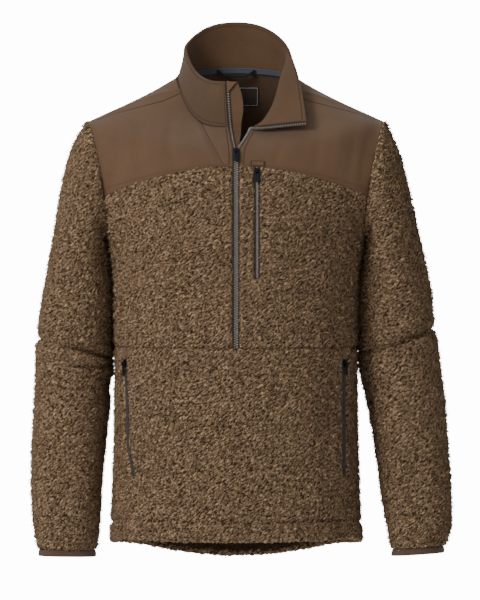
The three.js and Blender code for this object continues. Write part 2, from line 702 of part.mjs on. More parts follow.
function addSleeve({ sideName, grid }) {
  const lastRow = grid.points.length - 1;
  const firstHalf = { wraps: true, folds: (row, column) => column < ARMHOLE_STEPS };
  addFleece(`sleeve_upper_${sideName}`, grid, (row) => row < ELBOW_ROW, false, firstHalf);
  addFleece(`sleeve_lower_${sideName}`, grid, (row) => row >= ELBOW_ROW, false, firstHalf);
  const end = grid.points[lastRow];
  const endNormals = grid.normals[lastRow];
  const previous = grid.points[lastRow - 1];
  const centre = end.reduce((sum, point) => sum.add(point), new THREE.Vector3());
  centre.divideScalar(end.length);
  const before = previous.reduce((sum, point) => sum.add(point), new THREE.Vector3());
  before.divideScalar(end.length);
  const down = centre.clone().sub(before).normalize();
  const binding = end.map((point) => point.clone().addScaledVector(down, CUFF_HEIGHT)
    .addScaledVector(point.clone().sub(centre).normalize(), CUFF_FLARE));
  const cuff = { points: [end, binding], normals: [endNormals, endNormals] };
  const geometry = wallGeometry({ grid: cuff, covers: () => true, outer: () => BINDING_OUT,
    inner: () => BINDING_IN, wraps: true });
  addMesh(`cuff_${sideName}`, geometry, COLOURS.binding, 0.85);
}

// Collar: the neck seam's points from the right front edge round the back to the left front edge
function neckSeam() {
  const front = FRONT.points[NECK_LEVEL];
  const back = BACK.points[NECK_LEVEL];
  const frontNormals = FRONT.normals[NECK_LEVEL];
  const backNormals = BACK.normals[NECK_LEVEL];
  return {
    points: [...front.slice(COLUMN.zipEdgeRight), ...back.slice(1),
      ...front.slice(1, COLUMN.zipEdgeLeft + 1)],
    normals: [...frontNormals.slice(COLUMN.zipEdgeRight), ...backNormals.slice(1),
      ...frontNormals.slice(1, COLUMN.zipEdgeLeft + 1)],
  };
}

function standingLine(seam) {
  const stand = COLLAR_STAND;
  const share = Math.min(Math.abs(seam.x) / NECK_X, 1);
  const atFront = seam.y < SHOULDER_RINGS.at(-1).middleY;
  const middleZ = atFront ? stand.frontTopZ : stand.backTopZ;
  const bow = atFront ? stand.frontBow : stand.backBow;
  const shift = atFront ? stand.edgeShift * (1 - share) ** 2 : 0;
  const top = new THREE.Vector3(seam.x * stand.narrowing + shift,
    seam.y * (atFront ? stand.frontLean : stand.backLean),
    mix(middleZ, stand.sideTopZ, share ** bow));
  const outward = new THREE.Vector3(seam.x, seam.y, 0).normalize();
  const roll = seam.clone().add(top).multiplyScalar(0.5).addScaledVector(outward, stand.bulge);
  return { top, roll, below: 0.5 };
}

function turnedLine(angle) {
  const row = readTable(COLLAR_TURN, 'angle', angle);
  return { top: new THREE.Vector3(row.topX, row.topY, row.topZ),
    roll: new THREE.Vector3(row.rollX, row.rollY, row.rollZ), below: row.below };
}

function collarPoint(seam, line, share) {
  const bent = (at) => (at < line.below
    ? seam.clone().lerp(line.roll, at / line.below)
    : line.roll.clone().lerp(line.top, (at - line.below) / (1 - line.below)));
  const reach = Math.min(ROLL_SOFTNESS, share, 1 - share);
  return bent(share).multiplyScalar(2).add(bent(share - reach)).add(bent(share + reach))
    .divideScalar(4);
}

function collarGrid() {
  const seam = neckSeam();
  const firstTurned = COLLAR_TURN[0].angle;
  const fullyTurned = COLLAR_TURN[1].angle;
  const lines = seam.points.map((point, column) => {
    const angle = THREE.MathUtils.radToDeg(Math.atan2(-point.y, point.x));
    const line = standingLine(point);
    const onLeft = column > seam.points.length / 2 && angle > firstTurned;
    if (onLeft) {
      const turned = turnedLine(angle);
      const share = Math.min((angle - firstTurned) / (fullyTurned - firstTurned), 1);
      line.top.lerp(turned.top, share);
      line.roll.lerp(turned.roll, share);
      line.below = mix(line.below, turned.below, share);
    }
    return line;
  });
  const points = COLLAR_SHARES.map((share) => seam.points.map(
    (point, column) => collarPoint(point, lines[column], share)));
  const last = seam.points.length - 1;
  const normals = points.map((row, index) => row.map((point, column) => {
    const above = points[Math.min(index + 1, points.length - 1)][column];
    const below = points[Math.max(index - 1, 0)][column];
    const after = row[Math.min(column + 1, last)];
    const before = row[Math.max(column - 1, 0)];
    return crossNormal(above.clone().sub(below), after.clone().sub(before));
  }));
  joinNormals(seam.normals, normals[0]);
  return { points, normals };
}

const COLLAR = collarGrid();

function addCollar() {
  const all = () => true;
  addMesh('collar', wallGeometry({ grid: COLLAR, covers: all,
    outer: () => COLLAR_LAYER + LAYER_SPLIT, inner: () => -LAYER_SPLIT }), COLOURS.woven, 0.8);
  addMesh('collar_facing', wallGeometry({ grid: COLLAR, covers: all,
    outer: () => -LAYER_SPLIT, inner: () => COLLAR_LAYER + LAYER_SPLIT }), COLOURS.collar, 0.8);
}

// Front zip: each tape runs from the chest seam up the yoke's edge and on along the collar's edge
function tapeGrid(edgeColumn, teethColumn, collarColumn) {
  const points = [];
  const normals = [];
  const towardsTeeth = teethColumn - edgeColumn;
  const put = (edge, teeth, normal) => {
    points.push(towardsTeeth > 0 ? [edge, teeth] : [teeth, edge]);
    normals.push([normal, normal]);
  };
  for (let level = SEAM_LEVEL; level < NECK_LEVEL; level += 1) {
    put(FRONT.points[level][edgeColumn], FRONT.points[level][teethColumn],
      FRONT.normals[level][edgeColumn]);
  }
  const neighbour = collarColumn === 0 ? 1 : collarColumn - 1;
  COLLAR.points.forEach((row, index) => {
    const edge = row[collarColumn];
    const outward = edge.clone().sub(row[neighbour]).normalize();
    put(edge, edge.clone().addScaledVector(outward, TAPE_WIDTH), COLLAR.normals[index][collarColumn]);
  });
  return { points, normals };
}

function addTapes() {
  const lastCollarColumn = COLLAR.points[0].length - 1;
  const tapes = [
    ['front_tape_left', tapeGrid(COLUMN.zipEdgeLeft, COLUMN.teethLeft, lastCollarColumn)],
    ['front_tape_right', tapeGrid(COLUMN.zipEdgeRight, COLUMN.teethRight, 0)],
  ];
  for (const [name, grid] of tapes) {
    addMesh(name, wallGeometry({ grid, covers: () => true, outer: () => TAPE_OUT,
      inner: () => TAPE_IN }), COLOURS.tape, 0.7);
  }
}

// A point part-way over a cell of a grid, with the cell's own outward and upward directions
function onGrid(grid, row, column) {
  const low = Math.floor(row);
  const left = Math.floor(column);
  const corner = (up, across) => grid.points[low + up][left + across];
  const point = corner(0, 0).clone().lerp(corner(0, 1), column - left)
    .lerp(corner(1, 0).clone().lerp(corner(1, 1), column - left), row - low);
  const normal = crossNormal(corner(1, 1).clone().sub(corner(0, 0)),
    corner(0, 1).clone().sub(corner(1, 0)));
  const up = corner(1, 0).clone().add(corner(1, 1)).sub(corner(0, 0)).sub(corner(0, 1));
  return { point, normal, up };
}

function addPocketZips() {
  const strips = [
    ['pocket_zip_left', COLUMN.pocketOuterLeft, POCKET_END_LEVEL, POCKET_TOP_LEVEL],
    ['pocket_zip_right', COLUMN.pocketInnerRight, POCKET_END_LEVEL, POCKET_TOP_LEVEL],
    ['chest_zip', COLUMN.chestZipOuter, CHEST_ZIP_END_LEVEL, YOKE_LEVEL],
  ];
  for (const [name, stripColumn, low, high] of strips) {
    addMesh(name, wallGeometry({ grid: FRONT,
      covers: (row, column) => column === stripColumn && within(row, low, high),
      outer: () => TAPE_OUT, inner: () => TAPE_IN }), COLOURS.tape, 0.7);
  }
  const garages = [
    ['pocket_garage_left', COLUMN.pocketOuterLeft],
    ['pocket_garage_right', COLUMN.pocketInnerRight],
  ];
  for (const [name, garageColumn] of garages) {
    addMesh(name, wallGeometry({ grid: FRONT,
      covers: (row, column) => column === garageColumn && within(row, POCKET_TOP_LEVEL, SEAM_LEVEL),
      outer: () => GARAGE_OUT, inner: () => TAPE_IN }), COLOURS.woven, 0.8);
  }
}

// A patch laid on the yoke over the top of the chest zip
function addChestGarage() {
  const rows = CHEST_GARAGE_LEVELS.map((level) => YOKE_LEVEL + level);
  const columns = [COLUMN.chestZipOuter - CHEST_GARAGE_REACH, COLUMN.chestZipOuter,
    COLUMN.chestZipInner, COLUMN.chestZipInner + CHEST_GARAGE_REACH];
  const places = rows.map((row) => columns.map((column) => onGrid(FRONT, row, column)));
  const grid = { points: places.map((row) => row.map((place) => place.point)),
    normals: places.map((row) => row.map((place) => place.normal)) };
  const foot = WOVEN_OUT + TRIM_LIFT;
  addMesh('chest_garage', wallGeometry({ grid, covers: () => true,
    outer: () => foot + PATCH_THICKNESS, inner: () => -foot }), COLOURS.woven, 0.8);
}

// Tape over the back neck seam, laid on the inside of the collar's facing
function addNeckTape() {
  const foot = COLLAR_LAYER + LAYER_SPLIT + TRIM_LIFT;
  addMesh('neck_tape', wallGeometry({ grid: COLLAR,
    covers: (row, column) => row === 0 && within(column, NECK_TAPE_ENDS.first, NECK_TAPE_ENDS.last),
    outer: () => -foot, inner: () => foot + PATCH_THICKNESS }), COLOURS.neckTape);
  const insideDepth = foot + PATCH_THICKNESS + TRIM_LIFT + LOOP_CORD.width / 2;
  const backRing = SHOULDER_RINGS.at(-1);
  const seamY = (x) => backRing.middleY
    + (NECK_Y - backRing.middleY) * Math.sqrt(1 - (x / NECK_X) ** 2);
  const half = LOOP_WIDTH / 2;
  const endY = seamY(half) - insideDepth - LOOP_CLEAR;
  const topZ = backRing.backZ + LOOP_RISE;
  const turnX = half - LOOP_TURN.inset;
  const turnZ = topZ - LOOP_TURN.share * LOOP_SAG;
  const path = new THREE.CatmullRomCurve3([
    new THREE.Vector3(-half, endY, topZ),
    new THREE.Vector3(-turnX, endY, turnZ),
    new THREE.Vector3(0, endY, topZ - LOOP_SAG),
    new THREE.Vector3(turnX, endY, turnZ),
    new THREE.Vector3(half, endY, topZ),
  ]);
  const section = new THREE.Shape();
  section.absellipse(0, 0, LOOP_CORD.width / 2, LOOP_CORD.thickness / 2, 0, 2 * Math.PI);
  addMesh('hang_loop', new THREE.ExtrudeGeometry(section, { steps: LOOP_STEPS, curveSegments: 3,
    extrudePath: path }), COLOURS.neckTape);
}

// Guard behind the open zip on the wearer's right, and the folded corner at its top
function addGuard() {
  const tape = tapeGrid(COLUMN.zipEdgeRight, COLUMN.teethRight, 0);
  const first = TIP_LEVEL - SEAM_LEVEL;
  const edges = tape.points.slice(first).map(([teeth, edge]) => ({ edge,
    across: teeth.clone().sub(edge).normalize() }));
  const normals = tape.normals.slice(first);
  const corners = (place, inset, width) => [place.edge.clone().addScaledVector(place.across, width),
    place.edge.clone().addScaledVector(place.across, inset)];
  const foot = COLLAR_LAYER + LAYER_SPLIT + TRIM_LIFT;
  addMesh('zip_guard', wallGeometry({
    grid: { points: edges.map((place, index) => corners(place, 0, GUARD_WIDTHS[index])), normals },
    covers: () => true, outer: () => -foot, inner: () => foot + PATCH_THICKNESS }),
  COLOURS.woven, 0.8);
  const garageFoot = TAPE_OUT + TRIM_LIFT;
  addMesh('zip_garage', wallGeometry({
    grid: { points: [corners(edges.at(-2), GARAGE_INSET, GARAGE_FOOT_WIDTH),
      corners(edges.at(-1), GARAGE_INSET, GUARD_WIDTHS.at(-1))], normals: normals.slice(-2) },
    covers: () => true, outer: () => garageFoot + PATCH_THICKNESS, inner: () => -garageFoot }),
  COLOURS.woven, 0.8);
}

function toManifold(geometry) {
  const bare = geometry.clone();
  bare.deleteAttribute('normal');
  bare.deleteAttribute('uv');
  const merged = mergeVertices(bare);
  return new wasm.Manifold(new wasm.Mesh({ numProp: 3,
    vertProperties: new Float32Array(merged.attributes.position.array),
    triVerts: new Uint32Array(merged.index.array) }));
}

function toGeometry(solid) {
  const mesh = solid.getMesh();
  const geometry = new THREE.BufferGeometry();
  geometry.setAttribute('position', new THREE.BufferAttribute(mesh.vertProperties, 3));
  geometry.setIndex(new THREE.BufferAttribute(mesh.triVerts, 1));
  return geometry;
}

// Slider: a body with a bridge over it. Local axes: X across the zip, Y up along it, Z outwards,
// with the origin on the tape's face under the middle of the body.
function sliderGeometry(width) {
  const half = width / 2;
  const outline = new THREE.Shape();
  const tail = SLIDER_TAIL_SHARE * half;
  const nose = SLIDER_NOSE_SHARE * half;
  outline.moveTo(-tail, -SLIDER_LENGTH / 2);
  outline.lineTo(tail, -SLIDER_LENGTH / 2);
  outline.lineTo(half, SLIDER_LENGTH / 2 - SLIDER_SHOULDER);
  outline.lineTo(nose, SLIDER_LENGTH / 2);
  outline.lineTo(-nose, SLIDER_LENGTH / 2);
  outline.lineTo(-half, SLIDER_LENGTH / 2 - SLIDER_SHOULDER);
  const body = new THREE.ExtrudeGeometry(outline, { depth: SLIDER_BODY, bevelEnabled: false });
  const reach = WINDOW_HALF + BRIDGE_LEG;
  const foot = SLIDER_BODY - BRIDGE_SUNK;
  const windowTop = SLIDER_BODY + 2 * WINDOW_HALF;
  const arch = new THREE.Shape();
  arch.moveTo(-reach, foot);
  arch.lineTo(reach, foot);
  arch.lineTo(reach, windowTop);
  arch.lineTo(reach - BRIDGE_TOP, windowTop + BRIDGE_TOP);
  arch.lineTo(BRIDGE_TOP - reach, windowTop + BRIDGE_TOP);
  arch.lineTo(-reach, windowTop);
  const opening = new THREE.Path();
  opening.moveTo(-WINDOW_HALF, SLIDER_BODY);
  opening.lineTo(-WINDOW_HALF, windowTop);
  opening.lineTo(WINDOW_HALF, windowTop);
  opening.lineTo(WINDOW_HALF, SLIDER_BODY);
  arch.holes.push(opening);
  const bridge = new THREE.ExtrudeGeometry(arch, { depth: BRIDGE_WIDTH, bevelEnabled: false });
  bridge.translate(0, 0, -BRIDGE_WIDTH / 2);
  const sideways = new THREE.Matrix4().makeBasis(new THREE.Vector3(0, 1, 0),
    new THREE.Vector3(0, 0, 1), new THREE.Vector3(1, 0, 0));
  bridge.applyMatrix4(sideways);
  return toGeometry(toManifold(body).add(toManifold(bridge)));
}

// Pull tab, hanging down from its bar, which is the origin and lies along X
function pullGeometry(width, length) {
  const half = width / 2;
  const slotHalf = PULL_SLOT_WIDTH / 2;
  const barHalf = PULL_BAR / 2;
  const outline = new THREE.Shape();
  const top = PULL_TOP_SHARE * half;
  const waist = -PULL_WAIST_SHARE * length;
  outline.moveTo(-top, barHalf);
  outline.lineTo(top, barHalf);
  outline.lineTo(half, waist);
  outline.lineTo(half, PULL_CORNER - length);
  outline.lineTo(half - PULL_CORNER, -length);
  outline.lineTo(PULL_CORNER - half, -length);
  outline.lineTo(-half, PULL_CORNER - length);
  outline.lineTo(-half, waist);
  const slot = new THREE.Path();
  slot.moveTo(-slotHalf, -barHalf);
  slot.lineTo(-slotHalf, -barHalf - PULL_SLOT_LENGTH);
  slot.lineTo(slotHalf, -barHalf - PULL_SLOT_LENGTH);
  slot.lineTo(slotHalf, -barHalf);
  outline.holes.push(slot);
  const plate = new THREE.ExtrudeGeometry(outline, { depth: PULL_BAR, bevelEnabled: false });
  return plate.translate(0, 0, -barHalf);
}

function addSlider(name, pullName, place, size) {
  const outward = place.normal.clone().normalize();
  const across = new THREE.Vector3().crossVectors(place.up, outward).normalize();
  const up = new THREE.Vector3().crossVectors(outward, across);
  const turn = new THREE.Quaternion().setFromRotationMatrix(
    new THREE.Matrix4().makeBasis(across, up, outward));
  const slider = addMesh(name, sliderGeometry(size.width), COLOURS.hardware, 0.45, 0.6);
  slider.quaternion.copy(turn);
  slider.position.copy(place.point).addScaledVector(outward, TAPE_OUT + TRIM_LIFT);
  const pull = addMesh(pullName, pullGeometry(size.pullWidth, size.pullLength),
    COLOURS.hardware, 0.5, 0.3);
  pull.quaternion.copy(turn);
  pull.position.copy(slider.position).addScaledVector(outward, SLIDER_BODY + WINDOW_HALF);
}

function addSliders() {
  const parks = {
    chest: [YOKE_LEVEL, COLUMN.chestZipOuter],
    pocket_right: [POCKET_TOP_LEVEL, COLUMN.pocketInnerRight],
    pocket_left: [POCKET_TOP_LEVEL, COLUMN.pocketOuterLeft],
  };
  for (const slider of SLIDERS) {
    const [level, column] = parks[slider.name + slider.suffix];
    addSlider(`${slider.name}_slider${slider.suffix}`, `${slider.name}_pull${slider.suffix}`,
      onGrid(FRONT, level - slider.levelsBelow, column + 0.5), slider);
  }
  const level = TIP_LEVEL - 1;
  const middle = (row) => FRONT.points[row][COLUMN.teethLeft].clone()
    .lerp(FRONT.points[row][COLUMN.teethRight], 0.5);
  addSlider('front_slider', 'front_pull', { point: middle(level),
    normal: FRONT.normals[level][COLUMN.teethLeft].clone()
      .add(FRONT.normals[level][COLUMN.teethRight]),
    up: middle(level + 1).sub(middle(level - 1)) }, FRONT_SLIDER);
}

const SLEEVES = [
  { sideName: 'right', grid: sleeveGrid(SLEEVE_RIGHT, -1) },
  { sideName: 'left', grid: sleeveGrid(SLEEVE_LEFT, 1) },
];
addFronts();
SLEEVES.forEach(addSleeve);
addCollar();
addTapes();
addPocketZips();
addChestGarage();
addNeckTape();
addGuard();
addSliders();

export default garment;
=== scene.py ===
"""Half-zip fleece pullover: curly deep-pile body and sleeves, smooth woven yoke and stand collar.

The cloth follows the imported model: the same named sizes give the same grids, and each grid is
refined into a thin sheet. The pile, stitches, zip teeth and creases are added on top.
Tables are in millimetres. +X is the wearer's left, -Y the front and +Z up.
"""

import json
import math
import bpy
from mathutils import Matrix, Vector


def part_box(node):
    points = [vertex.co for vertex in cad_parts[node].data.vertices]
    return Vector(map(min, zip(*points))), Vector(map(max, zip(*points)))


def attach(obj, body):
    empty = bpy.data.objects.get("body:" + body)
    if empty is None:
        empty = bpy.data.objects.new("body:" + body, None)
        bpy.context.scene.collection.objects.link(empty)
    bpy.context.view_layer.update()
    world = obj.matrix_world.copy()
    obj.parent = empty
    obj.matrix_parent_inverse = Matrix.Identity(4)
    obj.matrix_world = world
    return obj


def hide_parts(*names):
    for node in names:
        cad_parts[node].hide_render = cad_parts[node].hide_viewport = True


bl_info = {
    "name": "Fleece Half-Zip Pullover",
    "version": (1, 0, 0),
    "blender": (4, 5, 0),
    "location": "3D View > Sidebar > Pullover",
    "description": "Builds the cloth, pile, zips and trims of a worn fleece pullover",
    "category": "Add Mesh",
}

import bpy
import numpy as np
from bpy.props import FloatProperty, FloatVectorProperty, PointerProperty

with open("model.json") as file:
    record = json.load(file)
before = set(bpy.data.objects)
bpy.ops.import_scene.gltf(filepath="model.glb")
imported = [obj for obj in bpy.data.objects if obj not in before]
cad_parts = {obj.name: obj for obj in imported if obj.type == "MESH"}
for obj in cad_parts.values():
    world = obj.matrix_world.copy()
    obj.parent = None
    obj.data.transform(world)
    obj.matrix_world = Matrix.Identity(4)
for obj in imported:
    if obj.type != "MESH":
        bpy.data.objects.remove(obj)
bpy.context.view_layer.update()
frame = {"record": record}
BODY = "garment"
MM = 0.001

# Cloth
BACKING_OUT = 0.3
BACKING_IN = 1.5
HEM_TURN_DEPTH = 4
WOVEN_OUT = 1
WOVEN_IN = 0.9
LAYER_SPLIT = 0.2
COLLAR_LAYER = 1.7
BINDING_OUT = 2
BINDING_IN = 1.4
TAPE_HALF = 0.6
SEAM_PULL = 0.15

# Body
CHEST_SEAM_Z = -416
CHEST_ZIP_END_Z = -309
POCKET_TOP_Z = -434
POCKET_END_Z = -617
HEM_Z = -720
HEM_STITCH_Z = -691
ARMPIT_X = 190
ARMPIT_Z = -251
TIP_X = 226
TIP_Y = -8
TIP_Z = -67
BODY_SQUARENESS = 2.4
ARMHOLE_FRONT_REACH = 70
ARMHOLE_BACK_REACH = 78
ARMHOLE_STEPS = 12
YOKE_STEP = 5
BACK_INTERVALS = 18

# Zips and neck
TAPE_HALF_WIDTH = 5.6
TAPE_WIDTH = 5.5
POCKET_SLOT = 7
CHEST_SLOT_INNER_X = 28
CHEST_SLOT_OUTER_X = 37
NECK_X = 92
NECK_Y = 72
COLLAR_SHARES = [0, 0.1, 0.27, 0.43, 0.58, 0.78, 1]
NECK_TAPE_ENDS = (8, 31)
TRIM_LIFT = 0.35
PATCH_THICKNESS = 1.1


def table(columns, *rows):
    """Rows of a table as dictionaries, with the column names given once"""
    names = columns.split()
    return [dict(zip(names, row)) for row in rows]


BODY_SECTIONS = table(
    "side_z front_drop back_drop half_width",
    (HEM_Z, 5, 33, 191.5),
    (-650, 4, 20, 187.5),
    (-560, 2, 8, 184.5),
    (CHEST_SEAM_Z, 0, 0, 183),
    (-330, 0, 0, 183.5),
    (ARMPIT_Z, 0, 0, ARMPIT_X),
)
BODY_LEVELS = [
    HEM_Z, -706, HEM_STITCH_Z, -660, POCKET_END_Z, -570, -520, -475, POCKET_TOP_Z, CHEST_SEAM_Z,
    -385, -350, CHEST_ZIP_END_Z, -280, ARMPIT_Z,
]
FRONT_PROFILE = table(
    "z depth",
    (-760, 149), (-560, 145), (-416, 143), (-300, 143), (-212, 140), (-165, 132), (-136, 121),
    (-112, 107), (-94, 91), (-76, NECK_Y),
)
BACK_PROFILE = table(
    "z depth",
    (-760, 141), (-560, 134), (-416, 130), (-300, 133), (-200, 135), (-124, 131), (-66, 117),
    (-29, 98), (8, NECK_Y),
)
ARMHOLE_SEAM = table(
    "z x",
    (ARMPIT_Z, ARMPIT_X), (-208, 200), (-180, 205), (-146, 209), (-108, 216), (TIP_Z, TIP_X),
)
ARMHOLE_LEVELS = table(
    "step front_z back_z",
    (1, -233, -240), (2, -213, -226), (3, -190, -211), (4, -163, -195), (YOKE_STEP, -136, -178),
    (6, -131, -160), (7, -127, -142), (8, -123.5, -125), (9, -120.5, -108), (10, -117.5, -93),
    (11, -114.5, -79),
)
SHOULDER_RINGS = table(
    "side_z front_z back_z half_width middle_y square bow seam_turn zip_left zip_right",
    (TIP_Z, -112, -66, TIP_X, TIP_Y, 2.4, 2, 0, 5.6, 5.6),
    (-49, -103, -48, 189, -5, 2.3, 2.3, 0.12, 10.5, 7),
    (-32, -94, -29, 153, 1, 2.2, 2.8, 0.2, 16.5, 9),
    (-15, -85, -10, 120, 8, 2.1, 3.5, 0.28, 22, 10.5),
    (0, -76, 8, NECK_X, 15, 2, 4.5, 0.36, 27, 12),
)
POCKET_LINES = table(
    "z left right",
    (-760, 166, 153), (POCKET_END_Z, 166, 157), (-570, 166, 164.5), (-500, 166, 166.5),
    (CHEST_SEAM_Z, 166, 171),
)
SIDE_LEFT, POCKET_OUTER_LEFT, POCKET_INNER_LEFT = 0, 3, 4
CHEST_ZIP_OUTER, CHEST_ZIP_INNER, ZIP_EDGE_LEFT, TEETH_LEFT = 9, 10, 11, 12
TEETH_RIGHT, ZIP_EDGE_RIGHT, POCKET_INNER_RIGHT, POCKET_OUTER_RIGHT, SIDE_RIGHT = 13, 14, 20, 21, 24

SLEEVE_COLUMNS = "out_x out_z in_x in_z depth mid_y"
SLEEVE_RIGHT = table(
    SLEEVE_COLUMNS,
    (237, -84, 196, -244.5, 79, -5),
    (251, -112, 202, -245.5, 78.5, -2),
    (261, -145, 205, -252, 78, 1),
    (269.5, -190, 203.5, -263, 77, 4),
    (278, -240, 199.5, -285, 75.5, 8),
    (287, -290, 196, -314, 74, 11),
    (295, -335, 194.5, -350, 73, 13),
    (300.5, -370, 194.5, -386, 71.5, 14),
    (303.5, -392, 194.5, -414, 70, 14),
    (301, -405, 193.5, -434, 65, 14),
    (306, -417, 196, -445, 69, 13.5),
    (306.5, -438, 194, -455, 66.5, 13),
    (307, -460, 199.5, -469, 68, 12),
    (309, -508, 200, -508, 65, 9),
    (311.5, -556, 204.5, -553, 62, 4),
    (313.5, -612, 209.5, -606, 58, -3),
    (312, -665, 213, -655, 54, -9),
    (308.5, -700, 215.5, -698, 49, -13),
    (303.5, -729, 219.5, -730, 42, -15),
)
SLEEVE_LEFT = table(
    SLEEVE_COLUMNS,
    (235, -84, 196, -244.5, 79, -5),
    (248, -115, 202, -245.5, 78.5, -2),
    (258.5, -152, 205, -252, 78, 2),
    (269, -195, 203.5, -263, 77, 6),
    (280, -246, 199.5, -285, 75.5, 11),
    (290, -288, 196, -314, 74, 15),
    (298.5, -330, 194.5, -348, 73, 18),
    (301, -360, 194.5, -380, 71.5, 19),
    (303, -377, 194.5, -406, 70, 19),
    (301, -389, 194, -425, 65, 19),
    (307.5, -402, 195, -436, 69.5, 18.5),
    (310, -424, 194.5, -446, 66.5, 18),
    (313, -446, 197.5, -462, 68, 17),
    (319.5, -495, 205, -492, 65, 14),
    (323.5, -552, 214.5, -540, 62, 9),
    (327, -607, 223, -597, 58, 2),
    (329.5, -659, 231, -655, 54, -4),
    (329, -697, 238.5, -697, 49, -8),
    (320.5, -724, 244, -729, 42, -10),
)
ELBOW_ROW = 10
SLEEVE_SQUARENESS = 2.15
LOOP_FADE = [1, 0.6, 0.25, 0.08]
CUFF_HEIGHT = 11.5
CUFF_FLARE = 1.5

COLLAR_STAND = {
    "front_top_z": -5, "side_top_z": 48, "back_top_z": 87, "front_bow": 5, "back_bow": 3,
    "narrowing": 0.87, "front_lean": 0.98, "back_lean": 0.84, "edge_shift": -8, "bulge": 3,
    "right_bulge": -2,
}
COLLAR_TURN = table(
    "angle top_x top_y top_z roll_x roll_y roll_z below",
    (-50, 50, 54, 77, 54, 61, 42, 0.5),
    (-28, 75, 42, 58, 79, 46, 33, 0.5),
    (-9, 88, 12, 31, 77, 15, 33, 0.55),
    (12, 97, -17, 2, 68, -9, 10, 0.45),
    (30, 102, -44, -22, 62, -38, -13, 0.42),
    (50, 106, -70, -46, 52, -63, -45, 0.32),
    (62, 108, -84, -60, 38, -77, -68, 0.22),
    (70, 108.5, -92, -69, 31, -83, -77, 0.18),
)
ROLL_SOFTNESS = 0.14
GUARD_WIDTHS = [8, 12, 15, 18, 20, 21, 24, 26, 26, 24, 19]

# Folds of the cloth. Each runs along a line in the front view (x, z), on the front or the back,
# as a trough (negative depth) or a ridge.
FOLDS = [
    {"line": [(-259, -417), (-239, -420), (-219, -428), (-191, -434)], "width": 4.5,
     "depth": -11},
    {"line": [(-257, -445), (-241, -447), (-208, -447), (-191, -444)], "width": 4, "depth": -6},
    {"line": [(-262, -431), (-235, -434), (-200, -440)], "width": 8, "depth": 4},
    {"line": [(-300, -398), (-280, -404), (-262, -408)], "width": 9, "depth": -3},
    {"line": [(208, -425), (237, -417), (265, -408), (281, -401), (301, -391)], "width": 4.5,
     "depth": -11},
    {"line": [(237, -429), (259, -430)], "width": 6, "depth": -3},
    {"line": [(206, -440), (236, -442), (270, -436)], "width": 9, "depth": 3},
    {"line": [(-196, -262), (-222, -300), (-240, -350)], "width": 14, "depth": -3},
    {"line": [(197, -262), (222, -305), (236, -345)], "width": 14, "depth": -3},
    {"line": [(-232, -150), (-243, -200), (-246, -250)], "width": 16, "depth": -2.5},
    {"line": [(214, -130), (236, -180), (244, -230)], "width": 15, "depth": -3},
    {"line": [(-178, -270), (-150, -330), (-140, -400)], "width": 18, "depth": -3},
    {"line": [(178, -270), (155, -330), (146, -400)], "width": 18, "depth": -3},
    {"line": [(-150, -450), (-128, -530), (-120, -600)], "width": 20, "depth": -3},
    {"line": [(150, -470), (132, -550), (126, -640)], "width": 20, "depth": -3},
    {"line": [(-60, -440), (-52, -560), (-58, -660)], "width": 26, "depth": -2.5},
    {"line": [(58, -450), (66, -560), (60, -650)], "width": 26, "depth": -2.5},
    {"line": [(-240, -520), (-262, -600), (-266, -690)], "width": 14, "depth": -3},
    {"line": [(250, -520), (275, -600), (286, -690)], "width": 14, "depth": -3},
    {"line": [(-296, -470), (-280, -500), (-255, -520)], "width": 10, "depth": -2.5},
    {"line": [(305, -460), (290, -490), (262, -512)], "width": 10, "depth": -2.5},
    {"line": [(258, -418), (230, -424), (205, -432)], "width": 7, "depth": -6, "back": True},
    {"line": [(-258, -418), (-230, -424), (-205, -432)], "width": 7, "depth": -6, "back": True},
    {"line": [(-190, -235), (-190, -330), (-189, -440)], "width": 15, "depth": 3.2, "side": True},
    {"line": [(-189, -222), (-190, -276)], "width": 13, "depth": 4.5, "side": True},
    {"line": [(189, -222), (189, -276)], "width": 13, "depth": 4.5, "side": True},
    {"line": [(190, -235), (189, -330), (189, -440)], "width": 15, "depth": 3.2, "side": True},
    {"line": [(-180, -275), (-140, -350), (-120, -430)], "width": 20, "depth": -4, "back": True},
    {"line": [(178, -275), (140, -345), (116, -440)], "width": 20, "depth": -4, "back": True},
    {"line": [(-40, -260), (-30, -400), (-46, -560)], "width": 26, "depth": -3, "back": True},
    {"line": [(52, -280), (44, -420), (58, -600)], "width": 26, "depth": -3, "back": True},
    {"line": [(-130, -520), (-110, -610), (-118, -690)], "width": 18, "depth": -3, "back": True},
    {"line": [(128, -500), (108, -600), (114, -690)], "width": 18, "depth": -3, "back": True},
]
